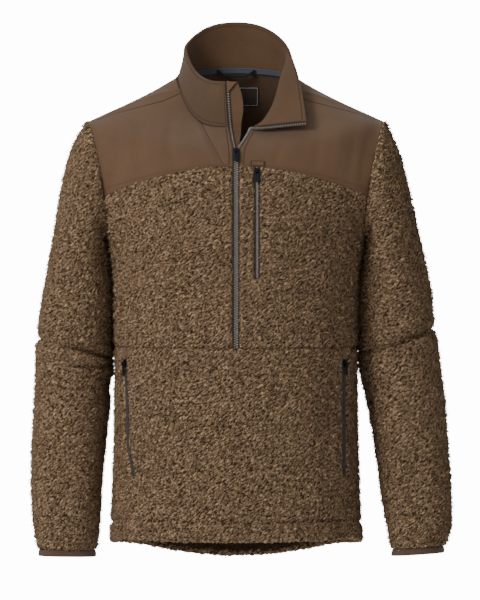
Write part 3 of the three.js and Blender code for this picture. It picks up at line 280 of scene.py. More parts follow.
YOKE_FOLDS = [
    {"line": [(-56, -67), (-38, -100), (-19, -134)], "width": 3.2, "depth": -1.8},
    {"line": [(-63, -68), (-46, -102), (-28, -135)], "width": 4, "depth": 1.5},
    {"line": [(-100, -60), (-104, -100), (-92, -145)], "width": 9, "depth": -2},
    {"line": [(-150, -62), (-150, -110), (-140, -158)], "width": 11, "depth": -2.4},
    {"line": [(-186, -84), (-183, -130), (-190, -170)], "width": 9, "depth": -1.6},
    {"line": [(-205, -90), (-200, -130), (-204, -170)], "width": 7, "depth": 1.0},
    {"line": [(130, -64), (128, -100), (120, -150)], "width": 9, "depth": -1.5},
    {"line": [(160, -66), (158, -110), (150, -160)], "width": 8, "depth": 1.2},
    {"line": [(185, -72), (180, -120), (172, -165)], "width": 8, "depth": -1.5},
    {"line": [(205, -84), (196, -130), (192, -172)], "width": 7, "depth": -1.2},
    {"line": [(74, -96), (66, -116), (60, -134)], "width": 7, "depth": -1.4},
    {"line": [(-120, -40), (-90, -100), (-70, -170)], "width": 14, "depth": -2.5, "back": True},
    {"line": [(125, -40), (100, -110), (84, -172)], "width": 14, "depth": -2.5, "back": True},
    {"line": [(-180, -70), (-178, -120), (-186, -180)], "width": 9, "depth": -2.5, "back": True},
    {"line": [(182, -72), (180, -130), (188, -182)], "width": 9, "depth": -2.5, "back": True},
]

CHEST_PULL_WIDENING = 1.45
YOKE_CREASE_X = (-56, -19)
YOKE_CREASE_Z = (-67, -134)

LABEL_X = (5, 35)
LABEL_Z = (-44, -13)
LABEL_CLEAR = 0.4
LABEL_THICKNESS = 0.5

# Where the seam on each shoulder runs in the front view, and how far the yoke is evened out
SHOULDER_SEAM = [(86, -24), (112, -36), (150, -46), (189, -56), (214, -66)]
YOKE_EVENING = 120

# Pile: heights from the backing, size of the curls, and how they lean and taper at an edge
PILE_LOW = 1.2
PILE_EDGE = 0.2
PILE_EDGE_REACH = 3.6
PILE_STITCHED = 1.4
CREVICE_WIDTH = 0.45
SHADED_CURL = 0.0036
CURL_STRETCH = 2.7
STROKE_SIZE = 0.0024
CURL_TILT = math.radians(38)
LOCK_TURN = math.radians(-48)
LOCK_SWIRL = math.radians(32)
LOCK_SWIRL_SIZE = 34
LOCK_SCATTER = math.radians(16)
HEM_RAISE = 3
HEM_GROOVE = 2.4
# painted shade inside the turned hem: its lowest pile value, and how much of the inside it covers
# down from the stitches
HEM_INSIDE_SHADE = -2.4
HEM_SHADE_REACH = 0.4
HEM_LIFT_START = -560
SIDE_HEM_LIFT = 3
FRONT_HEM_LIFT = 8
BACK_HEM_LIFT = 10
HEM_LIFT_REACH = 70
TAIL_LIFT_START = 40
HEM_ARC_STEPS = 5

FLOOR_RADIUS = 5
FLOOR_Z = -1.25
AMBIENT_LIGHT = 0.38
BACKDROP_LIGHT = 14
CAMERA_DISTANCE = 24
CAMERA_ELEVATION = math.radians(1)
SENSOR = 36
PHOTO_WIDTH, PHOTO_HEIGHT = 480, 600
MM_PER_PIXEL = 1.55
NECK_PIXEL = (236, 78)


def mix(start, end, share):
    return start + (end - start) * share


def smooth(share):
    share = np.clip(share, 0, 1)
    return share * share * (3 - 2 * share)


def unit(vectors):
    return vectors / np.maximum(np.linalg.norm(vectors, axis=-1, keepdims=True), 1e-9)


def signed_power(value, power):
    return np.sign(value) * np.abs(value) ** power


def read_table(rows, key, at):
    """A smooth curve through the rows, for each named column"""
    last = len(rows) - 1
    index = 0
    while index < last - 1 and rows[index + 1][key] < at:
        index += 1
    low, high = rows[index], rows[index + 1]
    span = high[key] - low[key]
    share = min(max((at - low[key]) / span, 0), 1)

    def slope(row, column):
        before, after = rows[max(row - 1, 0)], rows[min(row + 1, last)]
        return (after[column] - before[column]) / (after[key] - before[key])

    result = {}
    for column in low:
        rise = high[column] - low[column]
        bend = slope(index, column) * span - rise
        unbend = rise - slope(index + 1, column) * span
        sway = share * (1 - share) * (bend * (1 - share) + unbend * share)
        result[column] = low[column] + rise * share + sway
    return result


def level_half(level, depth, reach):
    """One half of a level, front or back: a superellipse from one armhole point to the other"""
    share = (reach / depth) ** level["square"]
    return {
        "depth": depth,
        "half_width": level["side_x"] / (1 - share) ** (1 / level["square"]),
        "start": math.asin(math.sqrt(share)),
    }


def make_level(values, front_reach, back_reach):
    level = {"square": BODY_SQUARENESS, "bow": 2, "seam_turn": 0, "zip_left": TAPE_HALF_WIDTH,
             "zip_right": TAPE_HALF_WIDTH, "open": False, **values}
    middle = level["middle_y"]
    front_depth = read_table(FRONT_PROFILE, "z", level["front_z"])["depth"] + middle
    back_depth = read_table(BACK_PROFILE, "z", level["back_z"])["depth"] - middle
    level["front"] = level_half(level, front_depth, front_reach)
    level["back"] = level_half(level, back_depth, back_reach)
    return level


def torso_levels():
    levels = []
    for side_z in BODY_LEVELS:
        section = read_table(BODY_SECTIONS, "side_z", side_z)
        levels.append(make_level({
            "side_z": side_z, "side_x": section["half_width"], "middle_y": 0,
            "front_z": side_z - section["front_drop"],
            "back_z": side_z - section["back_drop"]}, 0, 0))
    for row in ARMHOLE_LEVELS:
        share = row["step"] / ARMHOLE_STEPS
        turn = math.pi * (1 - share)
        side_z = (TIP_Z + ARMPIT_Z) / 2 + (TIP_Z - ARMPIT_Z) / 2 * math.cos(turn)
        levels.append(make_level({
            "side_z": side_z, "side_x": read_table(ARMHOLE_SEAM, "z", side_z)["x"],
            "middle_y": mix(0, TIP_Y, share), "front_z": row["front_z"],
            "back_z": row["back_z"], "open": True},
            ARMHOLE_FRONT_REACH * math.sin(turn), ARMHOLE_BACK_REACH * math.sin(turn)))
    for ring in SHOULDER_RINGS:
        levels.append(make_level({**ring, "side_x": ring["half_width"]}, 0, 0))
    return levels


LEVELS = torso_levels()
ARMPIT_LEVEL = len(BODY_LEVELS) - 1
YOKE_LEVEL = ARMPIT_LEVEL + YOKE_STEP
TIP_LEVEL = ARMPIT_LEVEL + ARMHOLE_STEPS
NECK_LEVEL = len(LEVELS) - 1
SEAM_LEVEL = BODY_LEVELS.index(CHEST_SEAM_Z)
POCKET_TOP_LEVEL = BODY_LEVELS.index(POCKET_TOP_Z)
POCKET_END_LEVEL = BODY_LEVELS.index(POCKET_END_Z)
CHEST_ZIP_END_LEVEL = BODY_LEVELS.index(CHEST_ZIP_END_Z)
HEM_STITCH_LEVEL = BODY_LEVELS.index(HEM_STITCH_Z)


def angle_at_x(level, x):
    side = math.acos((abs(x) / level["front"]["half_width"]) ** (level["square"] / 2))
    return math.pi - side if x < 0 else side


def front_columns():
    """The angle of each front column on each level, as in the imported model"""
    carried = {}
    rows = []
    for index, level in enumerate(LEVELS):
        start = level["front"]["start"] + level["seam_turn"]
        left_edge = angle_at_x(level, level["zip_left"])
        right_edge = math.pi - angle_at_x(level, -level["zip_right"])

        def follow(column, x, pinned):
            edge = left_edge if x > 0 else right_edge
            if pinned:
                angle = angle_at_x(level, x)
                from_side = angle if x > 0 else math.pi - angle
                carried[column] = (from_side - start) / (edge - start)
            from_side = mix(start, edge, carried[column])
            return from_side if x > 0 else math.pi - from_side

        pocket = read_table(POCKET_LINES, "z", min(level["front_z"], CHEST_SEAM_Z))
        on_pocket = index <= SEAM_LEVEL
        on_chest_zip = index <= YOKE_LEVEL
        half = POCKET_SLOT / 2
        pins = [
            (SIDE_LEFT, start),
            (POCKET_OUTER_LEFT, follow("outer_left", pocket["left"] + half, on_pocket)),
            (POCKET_INNER_LEFT, follow("inner_left", pocket["left"] - half, on_pocket)),
            (CHEST_ZIP_OUTER, follow("chest_outer", CHEST_SLOT_OUTER_X, on_chest_zip)),
            (CHEST_ZIP_INNER, follow("chest_inner", CHEST_SLOT_INNER_X, on_chest_zip)),
            (ZIP_EDGE_LEFT, left_edge),
            (TEETH_LEFT, angle_at_x(level, level["zip_left"] - TAPE_WIDTH)),
            (TEETH_RIGHT, angle_at_x(level, TAPE_WIDTH - level["zip_right"])),
            (ZIP_EDGE_RIGHT, math.pi - right_edge),
            (POCKET_INNER_RIGHT, follow("inner_right", half - pocket["right"], on_pocket)),
            (POCKET_OUTER_RIGHT, follow("outer_right", -half - pocket["right"], on_pocket)),
            (SIDE_RIGHT, math.pi - start),
        ]
        columns, angles = zip(*pins)
        rows.append(np.interp(np.arange(SIDE_RIGHT + 1), columns, angles))
    return rows


def level_points(level, angles):
    """Angles from 0 to pi pass over the front from the left side, and those past pi the back"""
    at_front = np.sin(angles) > -1e-9
    square = 2 / level["square"]

    def pick(name):
        return np.where(at_front, level["front"][name], level["back"][name])

    x = pick("half_width") * signed_power(np.cos(angles), square)
    reach = pick("depth") * np.abs(np.sin(angles)) ** square
    share = np.minimum(np.abs(x) / level["side_x"], 1)
    y = level["middle_y"] + np.where(at_front, -reach, reach)
    z = mix(np.where(at_front, level["front_z"], level["back_z"]), level["side_z"],
            share ** np.where(at_front, level["bow"], 2))
    return np.stack([x, y, z], axis=-1)


class Grid:
    """Points of a surface in rows and columns, with the direction of the wall's thickness.

    wraps joins the last column to the first. before and after are the neighbour's columns past
    each side. row_turns and column_turns are the places where an edge may bend sharply.
    """

    def __init__(self, points, normals, wraps=False, before=None, after=None):
        self.points = points
        self.normals = normals
        self.wraps = wraps
        self.before = before
        self.after = after
        self.row_turns = ()
        self.column_turns = ()


def cross_normals(up, across):
    return unit(np.cross(up, across))


def torso_normals(own, other):
    open_rows = np.array([level["open"] for level in LEVELS])[:, None]
    before = np.where(open_rows, own[:, 0], other[:, -2])[:, None]
    after = np.where(open_rows, own[:, -1], other[:, 1])[:, None]
    wide = np.concatenate([before, own, after], axis=1)
    across = wide[:, 2:] - wide[:, :-2]
    up = np.empty_like(own)
    up[1:-1] = own[2:] - own[:-2]
    up[0] = own[1] - own[0]
    up[-1] = own[-1] - own[-2]
    for column in (0, -1):
        up[ARMPIT_LEVEL, column] = own[ARMPIT_LEVEL, column] - own[ARMPIT_LEVEL - 1, column]
        up[TIP_LEVEL, column] = own[TIP_LEVEL + 1, column] - own[TIP_LEVEL, column]
    return cross_normals(up, across)


def torso_grids():
    front = np.array([level_points(level, angles)
                      for level, angles in zip(LEVELS, front_columns())])
    rows = []
    for index, level in enumerate(LEVELS):
        first = math.pi + level["back"]["start"] - level["seam_turn"]
        last = 2 * math.pi - level["back"]["start"] + level["seam_turn"]
        row = level_points(level, np.linspace(first, last, BACK_INTERVALS + 1))
        if not level["open"]:
            row[0] = front[index, -1]
            row[-1] = front[index, 0]
        rows.append(row)
    back = np.array(rows)
    front_normals = torso_normals(front, back)
    back_normals = torso_normals(back, front)
    closed = np.array([not level["open"] for level in LEVELS])
    back_normals[closed, 0] = front_normals[closed, -1]
    back_normals[closed, -1] = front_normals[closed, 0]
    open_rows = ~closed[:, None]

    def past(own, other, edge, inner, beyond):
        return np.where(open_rows, 2 * own[:, edge] - own[:, inner], other[:, beyond])

    grids = []
    for own, normals, other in ((front, front_normals, back), (back, back_normals, front)):
        grids.append(Grid(own, normals, False, past(own, other, 0, 1, -2),
                          past(own, other, -1, -2, 1)))
    return grids


def lift_hem(grid):
    """Draws the lower edge up a little, the tail more, as the photograph shows it"""
    for points in (grid.points, grid.before, grid.after):
        share = smooth((HEM_LIFT_START - points[..., 2]) / (HEM_LIFT_START - HEM_Z))
        to_back = smooth((points[..., 1] - TAIL_LIFT_START) / HEM_LIFT_REACH)
        to_front = smooth(-points[..., 1] / HEM_LIFT_REACH)
        points[..., 2] += share * (mix(SIDE_HEM_LIFT, BACK_HEM_LIFT, to_back)
                                   + FRONT_HEM_LIFT * to_front)


FRONT, BACK = torso_grids()
lift_hem(FRONT)
lift_hem(BACK)
FRONT.row_turns = BACK.row_turns = (ARMPIT_LEVEL, TIP_LEVEL)


def armhole_loop(side):
    """The seam of the armhole from the shoulder tip down one side to the armpit and up again"""
    back = (BACK, -1 if side > 0 else 0)
    front = (FRONT, 0 if side > 0 else -1)
    first, second = (back, front) if side > 0 else (front, back)
    down = range(TIP_LEVEL, ARMPIT_LEVEL, -1)
    up = range(ARMPIT_LEVEL, TIP_LEVEL)
    places = [(*first, level) for level in down] + [(*second, level) for level in up]
    points = np.array([grid.points[level, column] for grid, column, level in places])
    normals = np.array([grid.normals[level, column] for grid, column, level in places])
    return points, normals, places


def sleeve_ring(section, side, count):
    turn = 2 * np.pi * np.arange(count) / count
    along = signed_power(np.cos(turn), 2 / SLEEVE_SQUARENESS)
    across = signed_power(np.sin(turn), 2 / SLEEVE_SQUARENESS)
    share = (1 + along) / 2
    return np.stack([
        side * mix(section["in_x"], section["out_x"], share),
        section["mid_y"] + side * section["depth"] * across,
        mix(section["in_z"], section["out_z"], share)], axis=-1)


def sleeve_grid(sections, side):
    loop, loop_normals, places = armhole_loop(side)
    armhole = {"out_x": TIP_X, "out_z": TIP_Z, "in_x": ARMPIT_X, "in_z": ARMPIT_Z,
               "depth": (ARMHOLE_FRONT_REACH + ARMHOLE_BACK_REACH) / 2, "mid_y": TIP_Y / 2}
    off_round = loop - sleeve_ring(armhole, side, len(loop))
    fades = LOOP_FADE[1:] + [0] * len(sections)
    rings = [sleeve_ring(section, side, len(loop)) + fade * off_round
             for section, fade in zip(sections, fades)]
    points = np.array([loop, *rings])
    down = np.empty_like(points)
    down[1:-1] = points[2:] - points[:-2]
    down[0] = points[1] - points[0]
    down[-1] = points[-1] - points[-2]
    normals = cross_normals(down, np.roll(points, -1, axis=1) - np.roll(points, 1, axis=1))
    shared = unit(normals[0] + loop_normals)
    normals[0] = shared
    for normal, (grid, column, level) in zip(shared, places):
        grid.normals[level, column] = normal
    grid = Grid(points, normals, True)
    grid.column_turns = (0, ARMHOLE_STEPS)
    return grid


SLEEVES = {"left": sleeve_grid(SLEEVE_LEFT, 1), "right": sleeve_grid(SLEEVE_RIGHT, -1)}


def standing_line(seam):
    stand = COLLAR_STAND
    share = min(abs(seam[0]) / NECK_X, 1)
    at_front = seam[1] < SHOULDER_RINGS[-1]["middle_y"]
    middle_z = stand["front_top_z"] if at_front else stand["back_top_z"]
    bow = stand["front_bow"] if at_front else stand["back_bow"]
    shift = stand["edge_shift"] * (1 - share) ** 2 if at_front else 0
    lean = stand["front_lean"] if at_front else stand["back_lean"]
    top = np.array([seam[0] * stand["narrowing"] + shift, seam[1] * lean,
                    mix(middle_z, stand["side_top_z"], share ** bow)])
    outward = unit(np.array([seam[0], seam[1], 0]))
    bulge = mix(stand["bulge"], stand["right_bulge"], smooth((-seam[0] - 30) / 50))
    return top, (seam + top) / 2 + outward * bulge, 0.5


def collar_grid():
    seam = np.concatenate([FRONT.points[NECK_LEVEL, ZIP_EDGE_RIGHT:], BACK.points[NECK_LEVEL, 1:],
                           FRONT.points[NECK_LEVEL, 1:ZIP_EDGE_LEFT + 1]])
    seam_normals = np.concatenate([
        FRONT.normals[NECK_LEVEL, ZIP_EDGE_RIGHT:], BACK.normals[NECK_LEVEL, 1:],
        FRONT.normals[NECK_LEVEL, 1:ZIP_EDGE_LEFT + 1]])
    first_turned, fully_turned = COLLAR_TURN[0]["angle"], COLLAR_TURN[1]["angle"]
    columns = []
    for index, foot in enumerate(seam):
        top, roll, below = standing_line(foot)
        angle = math.degrees(math.atan2(-foot[1], foot[0]))
        if index > len(seam) / 2 and angle > first_turned:
            turn = read_table(COLLAR_TURN, "angle", angle)
            share = min((angle - first_turned) / (fully_turned - first_turned), 1)
            top = mix(top, np.array([turn["top_x"], turn["top_y"], turn["top_z"]]), share)
            roll = mix(roll, np.array([turn["roll_x"], turn["roll_y"], turn["roll_z"]]), share)
            below = mix(below, turn["below"], share)

        def bent(at):
            if at < below:
                return mix(foot, roll, at / below)
            return mix(roll, top, (at - below) / (1 - below))

        column = []
        for share in COLLAR_SHARES:
            reach = min(ROLL_SOFTNESS, share, 1 - share)
            column.append((2 * bent(share) + bent(share - reach) + bent(share + reach)) / 4)
        columns.append(column)
    points = np.array(columns).transpose(1, 0, 2)
    for _ in range(2):
        evened = (points[:, :-2] + 2 * points[:, 1:-1] + points[:, 2:]) / 4
        points[1:, 1:-1] = evened[1:]
    up = np.gradient(points, axis=0)
    across = np.gradient(points, axis=1)
    normals = cross_normals(up, across)
    normals[0] = unit(normals[0] + seam_normals)
    grid = Grid(points, normals)
    return grid


COLLAR = collar_grid()


def tape_grid(edge_column, teeth_column, collar_column, neighbour):
    """One tape of the front zip, from the chest seam up to the top of the collar's edge"""
    levels = slice(SEAM_LEVEL, NECK_LEVEL)
    edge = np.concatenate([FRONT.points[levels, edge_column], COLLAR.points[:, collar_column]])
    outward = unit(COLLAR.points[:, collar_column] - COLLAR.points[:, neighbour])
    teeth = np.concatenate([FRONT.points[levels, teeth_column],
                            COLLAR.points[:, collar_column] + outward * TAPE_WIDTH])
    normals = np.concatenate([FRONT.normals[levels, edge_column],
                              COLLAR.normals[:, collar_column]])
    pair = (edge, teeth) if teeth_column > edge_column else (teeth, edge)
    return Grid(np.stack(pair, axis=1), np.stack([normals, normals], axis=1))


TAPES = {"left": tape_grid(ZIP_EDGE_LEFT, TEETH_LEFT, -1, -2),
         "right": tape_grid(ZIP_EDGE_RIGHT, TEETH_RIGHT, 0, 1)}


def curve_through(knots, values, at, turns=()):
    """Values at new places along axis 0, on a smooth curve that may bend sharply at turns"""
    shape = (-1,) + (1,) * (values.ndim - 1)
    gaps = np.diff(knots)
    chords = np.diff(values, axis=0) / gaps.reshape(shape)
    leaving = np.empty_like(values)
    leaving[0], leaving[-1] = chords[0], chords[-1]
    low, high = gaps[:-1].reshape(shape), gaps[1:].reshape(shape)
    leaving[1:-1] = (chords[:-1] * high + chords[1:] * low) / (low + high)
    arriving = leaving.copy()
    for turn in turns:
        if 0 < turn < len(knots) - 1:
            arriving[turn] = chords[turn - 1]
            leaving[turn] = chords[turn]
    cell = np.clip(np.searchsorted(knots, at, side="right") - 1, 0, len(gaps) - 1)
    gap = gaps[cell].reshape(shape)
    t = ((at - knots[cell]) / gaps[cell]).reshape(shape)
    a, b = values[cell], values[cell + 1]
    slope_a, slope_b = leaving[cell] * gap, arriving[cell + 1] * gap
    return (a * (1 + 2 * t) * (1 - t) ** 2 + b * t ** 2 * (3 - 2 * t)
            + slope_a * t * (1 - t) ** 2 - slope_b * t ** 2 * (1 - t))


def spots_between(first, last, knots, step):
    """Places in steps of a grid, with every grid line kept"""
    spots = [float(first)]
    for index in range(first, last):
        count = max(1, math.ceil((knots[index + 1] - knots[index]) / step))
        spots += [index + (part + 1) / count for part in range(count)]
    return np.array(spots)


class Surface:
    """A refined grid. rows and columns hold each fine line's place in the grid's own steps."""

    def __init__(self, grid, step, first=0, last=None, turns=True):
        last = len(grid.points) - 1 if last is None else last
        points, normals = grid.points, grid.normals
        edge_before, edge_after = grid.before, grid.after
        if grid.wraps:
            points = np.concatenate([points, points[:, :1]], axis=1)
            normals = np.concatenate([normals, normals[:, :1]], axis=1)
            edge_before, edge_after = grid.points[:, -1], grid.points[:, 1]
        pad = 0
        wide = points
        if edge_before is not None:
            wide = np.concatenate([edge_before[:, None], points, edge_after[:, None]], axis=1)
            pad = 1
        row_gaps = np.linalg.norm(np.diff(points, axis=0), axis=-1).mean(axis=1)
        row_knots = np.concatenate([[0], np.cumsum(row_gaps)])
        span = wide[first:last + 1]
        column_gaps = np.linalg.norm(np.diff(span, axis=1), axis=-1).mean(axis=0)
        column_knots = np.concatenate([[0], np.cumsum(column_gaps)])
        column_knots -= column_knots[pad]
        inner_knots = column_knots[pad:len(column_knots) - pad]
        self.rows = spots_between(first, last, row_knots, step)
        self.columns = spots_between(0, points.shape[1] - 1, inner_knots, step)
        at_rows = np.interp(self.rows, np.arange(len(row_knots)), row_knots)
        at_columns = np.interp(self.columns, np.arange(len(inner_knots)), inner_knots)
        self.row_lengths = at_rows
        self.column_lengths = at_columns
        self.wraps = grid.wraps

        def refined(row_turns, column_turns):
            across = curve_through(column_knots, wide.transpose(1, 0, 2), at_columns,
                                   [turn + pad for turn in column_turns])
            return curve_through(row_knots, across.transpose(1, 0, 2), at_rows, row_turns)

        self.points = refined((), ())
        if turns and grid.row_turns:
            bent = refined(grid.row_turns, ())
            from_side = np.minimum(self.columns, self.columns[-1] - self.columns)
            share = np.clip(1 - from_side / 2, 0, 1)[None, :, None]
            self.points = mix(self.points, bent, share)
        if turns and grid.column_turns:
            bent = refined((), grid.column_turns)
            share = np.clip(1 - self.rows / 2, 0, 1)[:, None, None]
            self.points = mix(self.points, bent, share)
        low_row = np.clip(self.rows.astype(int), 0, len(points) - 2)
        low_column = np.clip(self.columns.astype(int), 0, points.shape[1] - 2)
        up = (self.rows - low_row)[:, None, None]
        along = (self.columns - low_column)[None, :, None]
        corner = [[normals[np.ix_(low_row + i, low_column + j)] for j in (0, 1)] for i in (0, 1)]
        self.normals = unit(mix(mix(corner[0][0], corner[0][1], along),
                                mix(corner[1][0], corner[1][1], along), up))

    def cells(self, covers):
        """Which fine cells a piece covers, from a test on the grid's own rows and columns"""
        row = (self.rows[:-1] + self.rows[1:]) / 2
        column = (self.columns[:-1] + self.columns[1:]) / 2
        return covers(row[:, None], column[None, :]) & np.ones((len(row), len(column)), bool)

    def place(self, rows, columns):
        """Points and directions at places given in the grid's own steps"""
        at_row = np.interp(rows, self.rows, np.arange(len(self.rows)))
        at_column = np.interp(columns, self.columns, np.arange(len(self.columns)))
        low_row = np.clip(at_row.astype(int), 0, len(self.rows) - 2)
        low_column = np.clip(at_column.astype(int), 0, len(self.columns) - 2)
        up = (at_row - low_row)[:, None]
        along = (at_column - low_column)[:, None]
        found = []
        for values in (self.points, self.normals):
            low = mix(values[low_row, low_column], values[low_row, low_column + 1], along)
            high = mix(values[low_row + 1, low_column], values[low_row + 1, low_column + 1], along)
            found.append(mix(low, high, up))
        return found[0], unit(found[1])

    def locate(self, x, z, row, column):
        """The place, in the grid's own steps, of points given in the front view"""
        rows = np.full(len(x), float(row))
        columns = np.full(len(x), float(column))
        step = 0.05
        for _ in range(12):
            here = self.place(rows, columns)[0]
            up = (self.place(rows + step, columns)[0] - here) / step
            over = (self.place(rows, columns + step)[0] - here) / step
            miss_x, miss_z = x - here[:, 0], z - here[:, 2]
            size = up[:, 0] * over[:, 2] - up[:, 2] * over[:, 0]
            size = np.where(np.abs(size) < 1e-6, 1e-6, size)
            rows = rows + np.clip((miss_x * over[:, 2] - miss_z * over[:, 0]) / size, -1, 1)
            columns = columns + np.clip((up[:, 0] * miss_z - up[:, 2] * miss_x) / size, -1, 1)
            rows = np.clip(rows, self.rows[0], self.rows[-1] - step)
            columns = np.clip(columns, self.columns[0], self.columns[-1] - step)
        return rows, columns

    def relax(self, weights, passes):
        """Evens out the surface where the weights allow it, with its edges held"""
        weights = weights[1:-1, 1:-1, None] * 0.5
        for _ in range(passes):
            inner = self.points[1:-1, 1:-1]
            mean = (self.points[2:, 1:-1] + self.points[:-2, 1:-1]
                    + self.points[1:-1, 2:] + self.points[1:-1, :-2]) / 4
            self.points[1:-1, 1:-1] = mix(inner, mean, weights)
        return self

    def push(self, offsets):
        self.points = self.points + self.normals * offsets[..., None]
        return self


def fold_offsets(points, normals, folds):
    """How far folds lift or sink each point, fading towards their ends and round the side"""
    offsets = np.zeros(points.shape[:-1])
    x, z = points[..., 0], points[..., 2]
    for fold in folds:
        line = np.array(fold["line"], float)
        reach = 3 * fold["width"]
        low, high = line.min(axis=0) - reach, line.max(axis=0) + reach
        near = (x > low[0]) & (x < high[0]) & (z > low[1]) & (z < high[1])
        if not near.any():
            continue
        spots = np.stack([x[near], z[near]], axis=-1)
        best = np.full(len(spots), np.inf)
        along = np.zeros(len(spots))
        lengths = np.linalg.norm(np.diff(line, axis=0), axis=1)
        starts = np.concatenate([[0], np.cumsum(lengths)])
        for index, length in enumerate(lengths):
            way = (line[index + 1] - line[index]) / length
            share = np.clip((spots - line[index]) @ way, 0, length)
            distance = np.linalg.norm(spots - line[index] - share[:, None] * way, axis=1)
            closer = distance < best
            best[closer] = distance[closer]
            along[closer] = (starts[index] + share[closer]) / starts[-1]
        if fold.get("side"):
            facing = np.abs(normals[near][:, 0])
        else:
            facing = normals[near][:, 1] * (1 if fold.get("back") else -1)
        fade = np.sqrt(np.clip(np.sin(np.pi * np.clip(along, 0.03, 0.97)), 0, 1))
        offsets[near] += (fold["depth"] * np.exp(-(best / fold["width"]) ** 2) * fade
                          * smooth((facing - 0.05) / 0.4))
    return offsets


def hashed(cells, salt):
    """A repeatable number from 0 to 1 for each whole-number cell"""
    key = (cells[..., 0].astype(np.int64) * 73856093 ^ cells[..., 1].astype(np.int64) * 19349663
           ^ cells[..., 2].astype(np.int64) * 83492791 ^ salt * 2654435761)
    key = (key ^ (key >> 13)) * 1274126177 & 0xFFFFFFFF
    key = (key ^ (key >> 16)) * 2246822519 & 0xFFFFFFFF
    return ((key ^ (key >> 15)) & 0xFFFFFF) / float(0xFFFFFF)


def soft_noise(points, size, salt):
    """Smooth noise from -1 to 1 with features of a given size"""
    scaled = points / size
    base = np.floor(scaled)
    share = smooth(scaled - base)
    total = np.zeros(points.shape[:-1])
    for corner in np.ndindex(2, 2, 2):
        weight = np.prod(np.where(np.array(corner) == 1, share, 1 - share), axis=-1)
        total += weight * hashed(base + corner, salt)
    return 2 * total - 1


def curls(points, size):
    """Height and tone of the curls of the pile, and the way that each one leans"""
    warp = np.stack([soft_noise(points, 2.2 * size, salt) for salt in (11, 12, 13)], axis=-1)
    warped = points + warp * 0.42 * size
    cos, sin = math.cos(CURL_TILT), math.sin(CURL_TILT)
    x = cos * warped[..., 0] + sin * warped[..., 2]
    z = -sin * warped[..., 0] + cos * warped[..., 2]
    scaled = np.stack([x / CURL_STRETCH, warped[..., 1], z], axis=-1) / size
    base = np.floor(scaled)
    nearest = np.full(points.shape[:-1], np.inf)
    second = nearest.copy()
    tone = np.zeros(points.shape[:-1])
    lean = np.zeros(points.shape)
    for step in np.ndindex(3, 3, 3):
        cell = base + np.array(step) - 1
        jitter = np.stack([hashed(cell, salt) for salt in (1, 2, 3)], axis=-1)
        distance = np.linalg.norm(cell + 0.1 + 0.8 * jitter - scaled, axis=-1)
        closer = distance < nearest
        second = np.where(closer, nearest, np.minimum(second, distance))
        nearest = np.where(closer, distance, nearest)
        tone = np.where(closer, hashed(cell, 4), tone)
        lean = np.where(closer[..., None], jitter - 0.5, lean)
    ridge = smooth((second - nearest) / CREVICE_WIDTH)
    height = mix(0.45, 1, ridge) * np.clip(1 - 0.45 * nearest ** 2, 0, 1) * (0.74 + 0.3 * tone)
    height = height + 0.12 * soft_noise(points, 0.6 * size, 21)
    return np.clip(height, 0, 1.15), tone, lean


def edge_distances(surface, covered, reach):
    """Distance of each point of a piece from the piece's nearest edge, up to a reach"""
    wraps = surface.wraps
    rows, columns = surface.points.shape[:2]
    cover = np.zeros((rows + 1, columns + 1), bool)
    cover[1:-1, 1:-1] = covered
    if wraps:
        cover[1:-1, 0] = covered[:, -1]
        cover[1:-1, -1] = covered[:, 0]
    inside = cover[:-1, :-1] & cover[1:, :-1] & cover[:-1, 1:] & cover[1:, 1:]
    distance = np.where(inside, reach, 0.0)
    down = np.linalg.norm(np.diff(surface.points, axis=0), axis=-1)
    across = np.linalg.norm(np.diff(surface.points, axis=1), axis=-1)
    for _ in range(int(reach / 1.5) + 1):
        distance[1:] = np.minimum(distance[1:], distance[:-1] + down)
        distance[:-1] = np.minimum(distance[:-1], distance[1:] + down)
        distance[:, 1:] = np.minimum(distance[:, 1:], distance[:, :-1] + across)
        distance[:, :-1] = np.minimum(distance[:, :-1], distance[:, 1:] + across)
        if wraps:
            seam = np.minimum(distance[:, 0], distance[:, -1])
            distance[:, 0] = distance[:, -1] = seam
    return distance


class Piece:
    """Vertices, faces, cloth lengths (UV) and point values of one mesh in the making"""

    def __init__(self):
        self.vertices = []
        self.faces = []
        self.lengths = []
        self.values = {}
        self.count = 0

    def add(self, vertices, faces, lengths=None, **values):
        vertices = np.asarray(vertices, float).reshape(-1, 3)
        faces = np.asarray(faces)
        self.vertices.append(vertices)
        self.faces.append(faces + self.count)
        if lengths is None:
            lengths = np.zeros((faces.size, 2))
        self.lengths.append(lengths)
        for name, value in values.items():
            self.values.setdefault(name, np.zeros(self.count))
        for name, known in self.values.items():
            new = np.broadcast_to(values.get(name, 0.0), len(vertices))
            self.values[name] = np.concatenate([known, new])
        self.count += len(vertices)
        return self

    def build(self, name, material, slot, sharp_angle=None, body=BODY):
        vertices = np.concatenate(self.vertices) * MM
        corners = np.concatenate([group.reshape(-1) for group in self.faces])
        sides = np.concatenate([np.full(len(group), group.shape[1]) for group in self.faces])
        mesh = bpy.data.meshes.new(name)
        mesh.vertices.add(len(vertices))
        mesh.vertices.foreach_set("co", vertices.astype(np.float32).ravel())
        mesh.loops.add(len(corners))
        mesh.loops.foreach_set("vertex_index", corners.astype(np.int32))
        mesh.polygons.add(len(sides))
        mesh.polygons.foreach_set("loop_start", (np.cumsum(sides) - sides).astype(np.int32))
        mesh.update(calc_edges=True)
        uv = mesh.uv_layers.new(name="cloth_lengths")
        lengths = np.concatenate([part.reshape(-1, 2) for part in self.lengths])
        uv.uv.foreach_set("vector", (lengths * MM).astype(np.float32).ravel())
        for label, parts in self.values.items():
            values = mesh.attributes.new(label, "FLOAT", "POINT")
            values.data.foreach_set("value", parts.astype(np.float32))
        mesh.polygons.foreach_set("use_smooth", [True] * len(mesh.polygons))
        if sharp_angle is not None:
            mesh.set_sharp_from_angle(angle=math.radians(sharp_angle))
        mesh.materials.append(material)
        piece = bpy.data.objects.new(name, mesh)
        bpy.context.scene.collection.objects.link(piece)
        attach(piece, body)
        return piece


